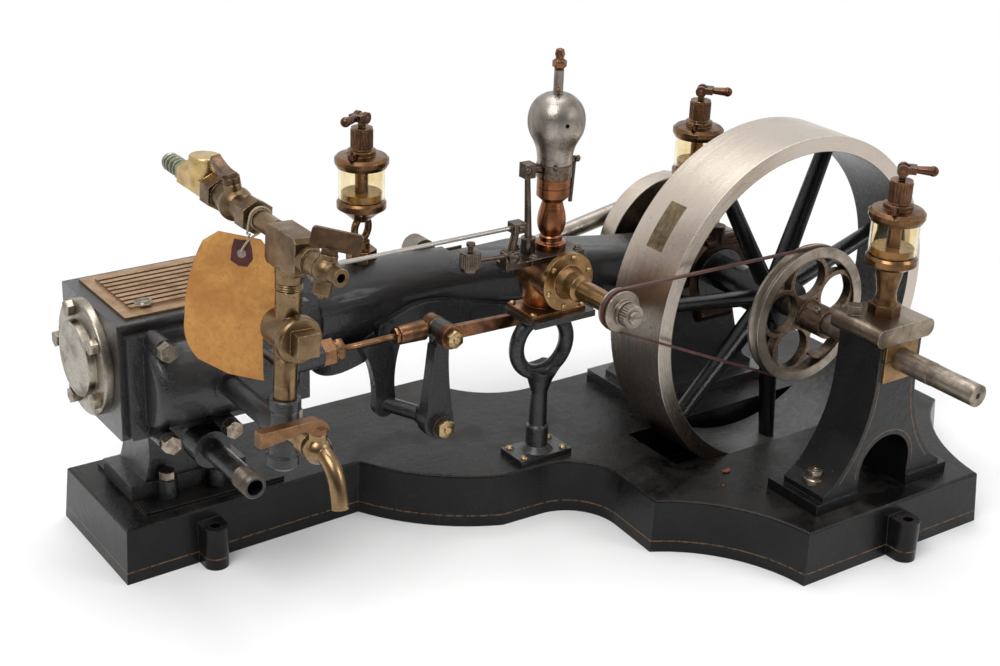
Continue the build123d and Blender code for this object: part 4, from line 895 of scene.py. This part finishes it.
def bright_rod(tree, place, fine, colour):
    """The polished speed rod among the darker levers."""
    rod = near(tree, height_of(tree, place), speed_rod_z, 1.7)
    beyond = mask_range(tree, height_of(tree, place, "X"), crank_x - 0.5, crank_x - 1.5)
    return mix_colour(tree, reckon(tree, "MULTIPLY", rod, beyond), colour, (0.32, 0.295, 0.265))


link_steel = metal("linkage steel", (0.13, 0.10, 0.08), (0.035, 0.025, 0.02), 0.27, scale=110.0,
                   bright=(0.38, 0.34, 0.29), marks=bright_rod)
paint(link_steel, "governor_linkage")
pins = bmesh.new()
crank_y = gov_y - 12
dome(pins, at(-193, gov_y - 3.9, 255.5, (0, -1, 0)), 2.7, 1.8)
dome(pins, at(-176, gov_y - 10.8, 256.5, (-0.3, -0.95, 0)), 1.8, 1.8)
dome(pins, at(-151, gov_y - 1.6, 257.5, (0.2, -1, 0)), 2.4, 2.0)
dome(pins, at(crank_x + 5.5, crank_y - 4.4, speed_rod_z, (0, -1, 0)), 2.4, 1.6)
dome(pins, at(crank_x, crank_y - 5.9, 202, (0, -1, 0)), 3.0, 1.6)
knurled(pins, at(crank_x - 32, crank_y, 200.5), 7.2, 0.5, 9.5, 28)
add_piece("linkage_pins", pins, link_steel)

# Belt: a round belt of dark red-brown leather, run over both pulleys and joined into one
# tight loop.
leather, tree, shader, place = start_finish("belt leather", (0.07, 0.025, 0.016), 0.0, 0.55)
hide = blotches(tree, place, 90.0, 0.4)
two_tones(tree, shader, hide.outputs["Mask"], (0.085, 0.030, 0.020), (0.030, 0.013, 0.010))
relief(tree, shader, hide.outputs["Fine"], 0.4, 0.0005)
paint(leather, "drive_belt")

# Oilers: brass cups with amber glasses, one on the trunk guide and one on each
# bearing. Each has a knurled nut, a leaf with an eyelet on its lid, and oil inside.
oiler_brass = metal("oiler brass", (0.22, 0.115, 0.052), (0.042, 0.024, 0.014), 0.19, tarnish=0.8, scale=75.0,
                    low=0.36, high=0.66, bright=(0.44, 0.27, 0.13))
paint(oiler_brass, "oiler_bodies")
handle_brass = metal("oiler handle", (0.12, 0.058, 0.036), (0.035, 0.02, 0.014), 0.26, scale=110.0,
                     bright=(0.36, 0.20, 0.11))
paint(handle_brass, "crosshead_oiler_lever", "main_oiler_lever", "outboard_oiler_lever")
glass, tree, shader, place = start_finish("oiler glass", (1.0, 0.90, 0.62), 0.0, 0.04)
shader.inputs["Transmission Weight"].default_value = 1.0
shader.inputs["IOR"].default_value = 1.2
film = blotches(tree, place, 70.0, 0.35, 0.75)
two_tones(tree, shader, film.outputs["Mask"], (1.0, 0.95, 0.78), (0.84, 0.70, 0.44))
tree.links.new(mask_range(tree, film.outputs["Mask"], 0.0, 1.0, 0.03, 0.12), shader.inputs["Roughness"])
paint(glass, "oiler_glasses")
oil, tree, shader, place = start_finish("old oil", (0.20, 0.095, 0.02), 0.0, 0.08)
sludge = blotches(tree, place, 120.0)
two_tones(tree, shader, sludge.outputs["Mask"], (0.24, 0.12, 0.03), (0.09, 0.045, 0.015))
shader.inputs["Coat Weight"].default_value = 0.6


def bar(mesh, place, size):
    """A plain rectangular bar about a place."""
    made = bmesh.ops.create_cube(mesh, size=1)["verts"]
    bmesh.ops.transform(mesh, matrix=place @ Matrix.Diagonal((*size, 1)), verts=made)


eyelet_r = 2.6
wire_r = 0.95
wire_turns = [k * math.tau / 10 for k in range(10)]
eyelet_wire = [(eyelet_r + wire_r * math.cos(a), wire_r * math.sin(a)) for a in wire_turns]
glass_height = 23.5
lid_height = 8.0
oiler_at = [("crosshead", -259.5, 57.0, 208.0), ("main", 0.0, 4.0, 206.5), ("outboard", 0.0, -196.0, 203.5)]
for name, x, y, ring_z in oiler_at:
    glass_z0 = ring_z + 8
    lid_z = glass_z0 + glass_height + lid_height
    grip = bmesh.new()
    knurled(grip, at(x, y, lid_z + 6), 7.9, 0.5, 12.5, 22)
    leaf_way = Matrix.Translation((x, y, lid_z)) @ Matrix.Rotation(math.radians(215), 4, "Z")
    bar(grip, leaf_way @ Matrix.Translation((12.5, 0, 1.2)), (11, 3.6, 0.9))
    bar(grip, leaf_way @ Matrix.Translation((-9.3, 0, 6)), (0.9, 4.4, 11))
    turn_profile(grip, eyelet_wire, leaf_way @ at(18.5, 0, 4.4, (0, 1, 0)), steps=24, closed=True)
    add_piece(name + "_oiler_grip", grip, handle_brass)
    pool = bmesh.new()
    turn_profile(pool, [(4.7, 0), (14.3, 0), (14.3, 5.4), (4.7, 5.2)], at(x, y, glass_z0 + 0.1), closed=True)
    add_piece(name + "_oiler_oil", pool, oil)

# Paper tag: stiff orange manila card, worn dark at its edges and left blank, with a
# maroon reinforcing patch round its hole.
card, tree, shader, place = start_finish("tag card", (0.62, 0.36, 0.12), 0.0, 0.8)
stains = blotches(tree, place, 32.0, 0.38, 0.64)
frayed = use_group(tree, worn, [("Vector", place), ("Break", 250.0)])
tone = mix_colour(tree, stains.outputs["Mask"], (0.58, 0.30, 0.078), (0.38, 0.165, 0.035))
freckles = mask_range(tree, stains.outputs["Fine"], 0.48, 0.7, 0.0, 0.6)
tone = mix_colour(tree, freckles, tone, (0.27, 0.115, 0.03))
broad = blotches(tree, place, 14.0, 0.42, 0.62)
tone = mix_colour(tree, reckon(tree, "MULTIPLY", broad.outputs["Mask"], 0.45), tone, (0.36, 0.14, 0.03))
two_tones(tree, shader, frayed.outputs["Edge"], tone, (0.10, 0.045, 0.018))
fibre = put(tree, "ShaderNodeTexNoise", [("Vector", place), ("Scale", 420.0), ("Detail", 4.0)])
relief(tree, shader, fibre.outputs["Fac"], 0.3, 0.0006)
paint(card, "paper_tag")
tag_turn = math.radians(-34.8)
tag_along = Vector((math.cos(tag_turn), math.sin(tag_turn), 0))
tag_out = Vector((math.sin(tag_turn), -math.cos(tag_turn), 0))
tag_place = Matrix((tag_along, Vector((0, 0, 1)), tag_out)).transposed().to_4x4()
tag_place = Matrix.Translation((-419, -37, 0)) @ tag_place
patch = bmesh.new()
patch_outline = [(14.2, 247.3), (18.0, 246.4), (23.0, 246.8), (24.6, 241.5), (25.2, 234.2), (21.5, 229.2),
                 (16.2, 229.8), (11.6, 233.2), (12.4, 240.6)]
rim = [patch.verts.new((u, z, 0.55)) for u, z in patch_outline]
face = patch.faces.new(rim)
bmesh.ops.inset_individual(patch, faces=[face], thickness=3.4, depth=0)
bmesh.ops.delete(patch, geom=[face], context="FACES_ONLY")
hole_mid = Vector((18.3, 237.6))
hole_r = 2.9
for vert in newer(patch, rim):
    vert.co.x, vert.co.y = hole_mid + (vert.co.xy - hole_mid).normalized() * hole_r
bmesh.ops.solidify(patch, geom=list(patch.faces), thickness=0.22)
bmesh.ops.transform(patch, matrix=tag_place, verts=patch.verts)
maroon, tree, shader, place = start_finish("tag patch", (0.05, 0.012, 0.010), 0.0, 0.75)
rub = blotches(tree, place, 160.0)
two_tones(tree, shader, rub.outputs["Mask"], (0.065, 0.013, 0.011), (0.035, 0.009, 0.008))
add_piece("tag_patch", patch, maroon)

# Tag string: a short tie of waxed twine, passed once round the steam pipe and through the
# tag's hole, with its ends held at the pipe.
twine, tree, shader, place = start_finish("tag twine", (0.42, 0.36, 0.26), 0.0, 0.85)
lay = put(tree, "ShaderNodeTexWave", [("Vector", place), ("Scale", 420.0), ("Distortion", 3.0)],
          bands_direction="DIAGONAL")
two_tones(tree, shader, lay.outputs["Fac"], (0.20, 0.155, 0.10), (0.42, 0.35, 0.25))
tie_points = [(-401.8, -51.0, 250.5), (-401.6, -52.6, 259.0), (-399.0, -53.0, 266.0), (-392.5, -53.0, 267.4),
              (-386.2, -52.6, 262.5), (-387.0, -52.2, 254.2), (-394.0, -51.6, 250.4), (-400.6, -50.8, 247.0),
              (-404.2, -49.6, 242.0), (-404.9, -48.9, 239.2), (-404.5, -48.3, 237.4), (-403.6, -46.8, 237.2),
              (-402.4, -46.2, 240.0), (-401.2, -49.4, 246.6), (-400.2, -51.6, 250.6)]
tie_curve = bpy.data.curves.new("tag_tie", "CURVE")
tie_curve.dimensions = "3D"
spline = tie_curve.splines.new("NURBS")
spline.points.add(len(tie_points) - 1)
for point, (x, y, z) in zip(spline.points, tie_points):
    point.co = (x * mm, y * mm, z * mm, 1)
spline.order_u = 3
spline.use_endpoint_u = True
tie_curve.bevel_depth = 0.7 * mm
tie_curve.bevel_resolution = 3
tie_curve.use_fill_caps = True
tie_curve.materials.append(twine)
tie = bpy.data.objects.new("tag_tie", tie_curve)
bpy.context.scene.collection.objects.link(tie)
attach(tie, "engine")
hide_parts("tag_string")

# Studio: a pale floor that turns to plain white away from the engine, white all
# round, and three soft lamps.
floor_mesh = bmesh.new()
bmesh.ops.create_grid(floor_mesh, x_segments=1, y_segments=1, size=12.0)
floor_data = bpy.data.meshes.new("floor")
floor_mesh.to_mesh(floor_data)
floor_mesh.free()
floor = bpy.data.objects.new("floor", floor_data)
bpy.context.scene.collection.objects.link(floor)
floor_mat, tree, shader, place = start_finish("floor", (0.90, 0.90, 0.90), 0.0, 0.7)
# Under the flywheel's pit the floor is in the hollow bed's shade.
pit_long = mask_range(tree, distance_from(tree, place, (0, 0, 0), (1, 0, 0)), 112.0, 111.0)
pit_wide = mask_range(tree, distance_from(tree, place, (0, pit_y, 0), (0, 1, 0)), 36.0, 35.0)
two_tones(tree, shader, reckon(tree, "MULTIPLY", pit_long, pit_wide), (0.90, 0.90, 0.90),
          (0.012, 0.011, 0.010))
from_engine = distance_from(tree, place, (-150, -50, 0), (1, 1, 0))
far = mask_range(tree, from_engine, 330.0, 700.0)
glow = put(tree, "ShaderNodeEmission", [("Color", (1, 1, 1, 1)), ("Strength", 1.0)])
blend = put(tree, "ShaderNodeMixShader", [(0, far), (1, shader.outputs[0]), (2, glow.outputs[0])])
tree.links.new(blend.outputs[0], tree.nodes["Material Output"].inputs["Surface"])
floor.data.materials.append(floor_mat)

world = bpy.data.worlds.new("studio")
bpy.context.scene.world = world
world.use_nodes = True
tree = world.node_tree
background = tree.nodes["Background"]
background.inputs["Color"].default_value = (1, 1, 1, 1)
rays = put(tree, "ShaderNodeLightPath")
seen = reckon(tree, "MAXIMUM", rays.outputs["Is Camera Ray"], rays.outputs["Is Transmission Ray"])
way = put(tree, "ShaderNodeTexCoord").outputs["Generated"]
# The room is darker in front of the engine's valve side, so that its enamel stays black.
lit_way = (0.50, 0.70, 0.51)
lit = on_vectors(tree, "DOT_PRODUCT", way, lit_way, "Value")
room = mask_range(tree, lit, -0.7, 0.3, 0.08, 0.95)
mirrored = reckon(tree, "MULTIPLY", rays.outputs["Is Glossy Ray"], room)
plain = reckon(tree, "MULTIPLY", rays.outputs["Is Diffuse Ray"], 0.55)
strength = reckon(tree, "MAXIMUM", reckon(tree, "MAXIMUM", seen, mirrored), plain)
tree.links.new(strength, background.inputs["Strength"])


def lamp(name, place, aim, size, power):
    """A soft square lamp that faces a point."""
    data = bpy.data.lights.new(name, "AREA")
    data.shape = "SQUARE"
    data.size = size
    data.energy = power
    obj = bpy.data.objects.new(name, data)
    bpy.context.scene.collection.objects.link(obj)
    line = Vector(aim) - Vector(place)
    obj.matrix_world = Matrix.Translation(place) @ line.to_track_quat("-Z", "Y").to_matrix().to_4x4()


engine_mid = (-0.15, -0.05, 0.1)
lamp("key lamp", (-1.2, -0.6, 1.7), engine_mid, 1.0, 20)
lamp("fill lamp", (0.9, -1.5, 1.1), engine_mid, 0.8, 9)
lamp("top lamp", (0.0, 0.5, 2.0), (-0.15, 0.0, 0.1), 1.2, 16)

bpy.context.scene.view_settings.view_transform = "Standard"
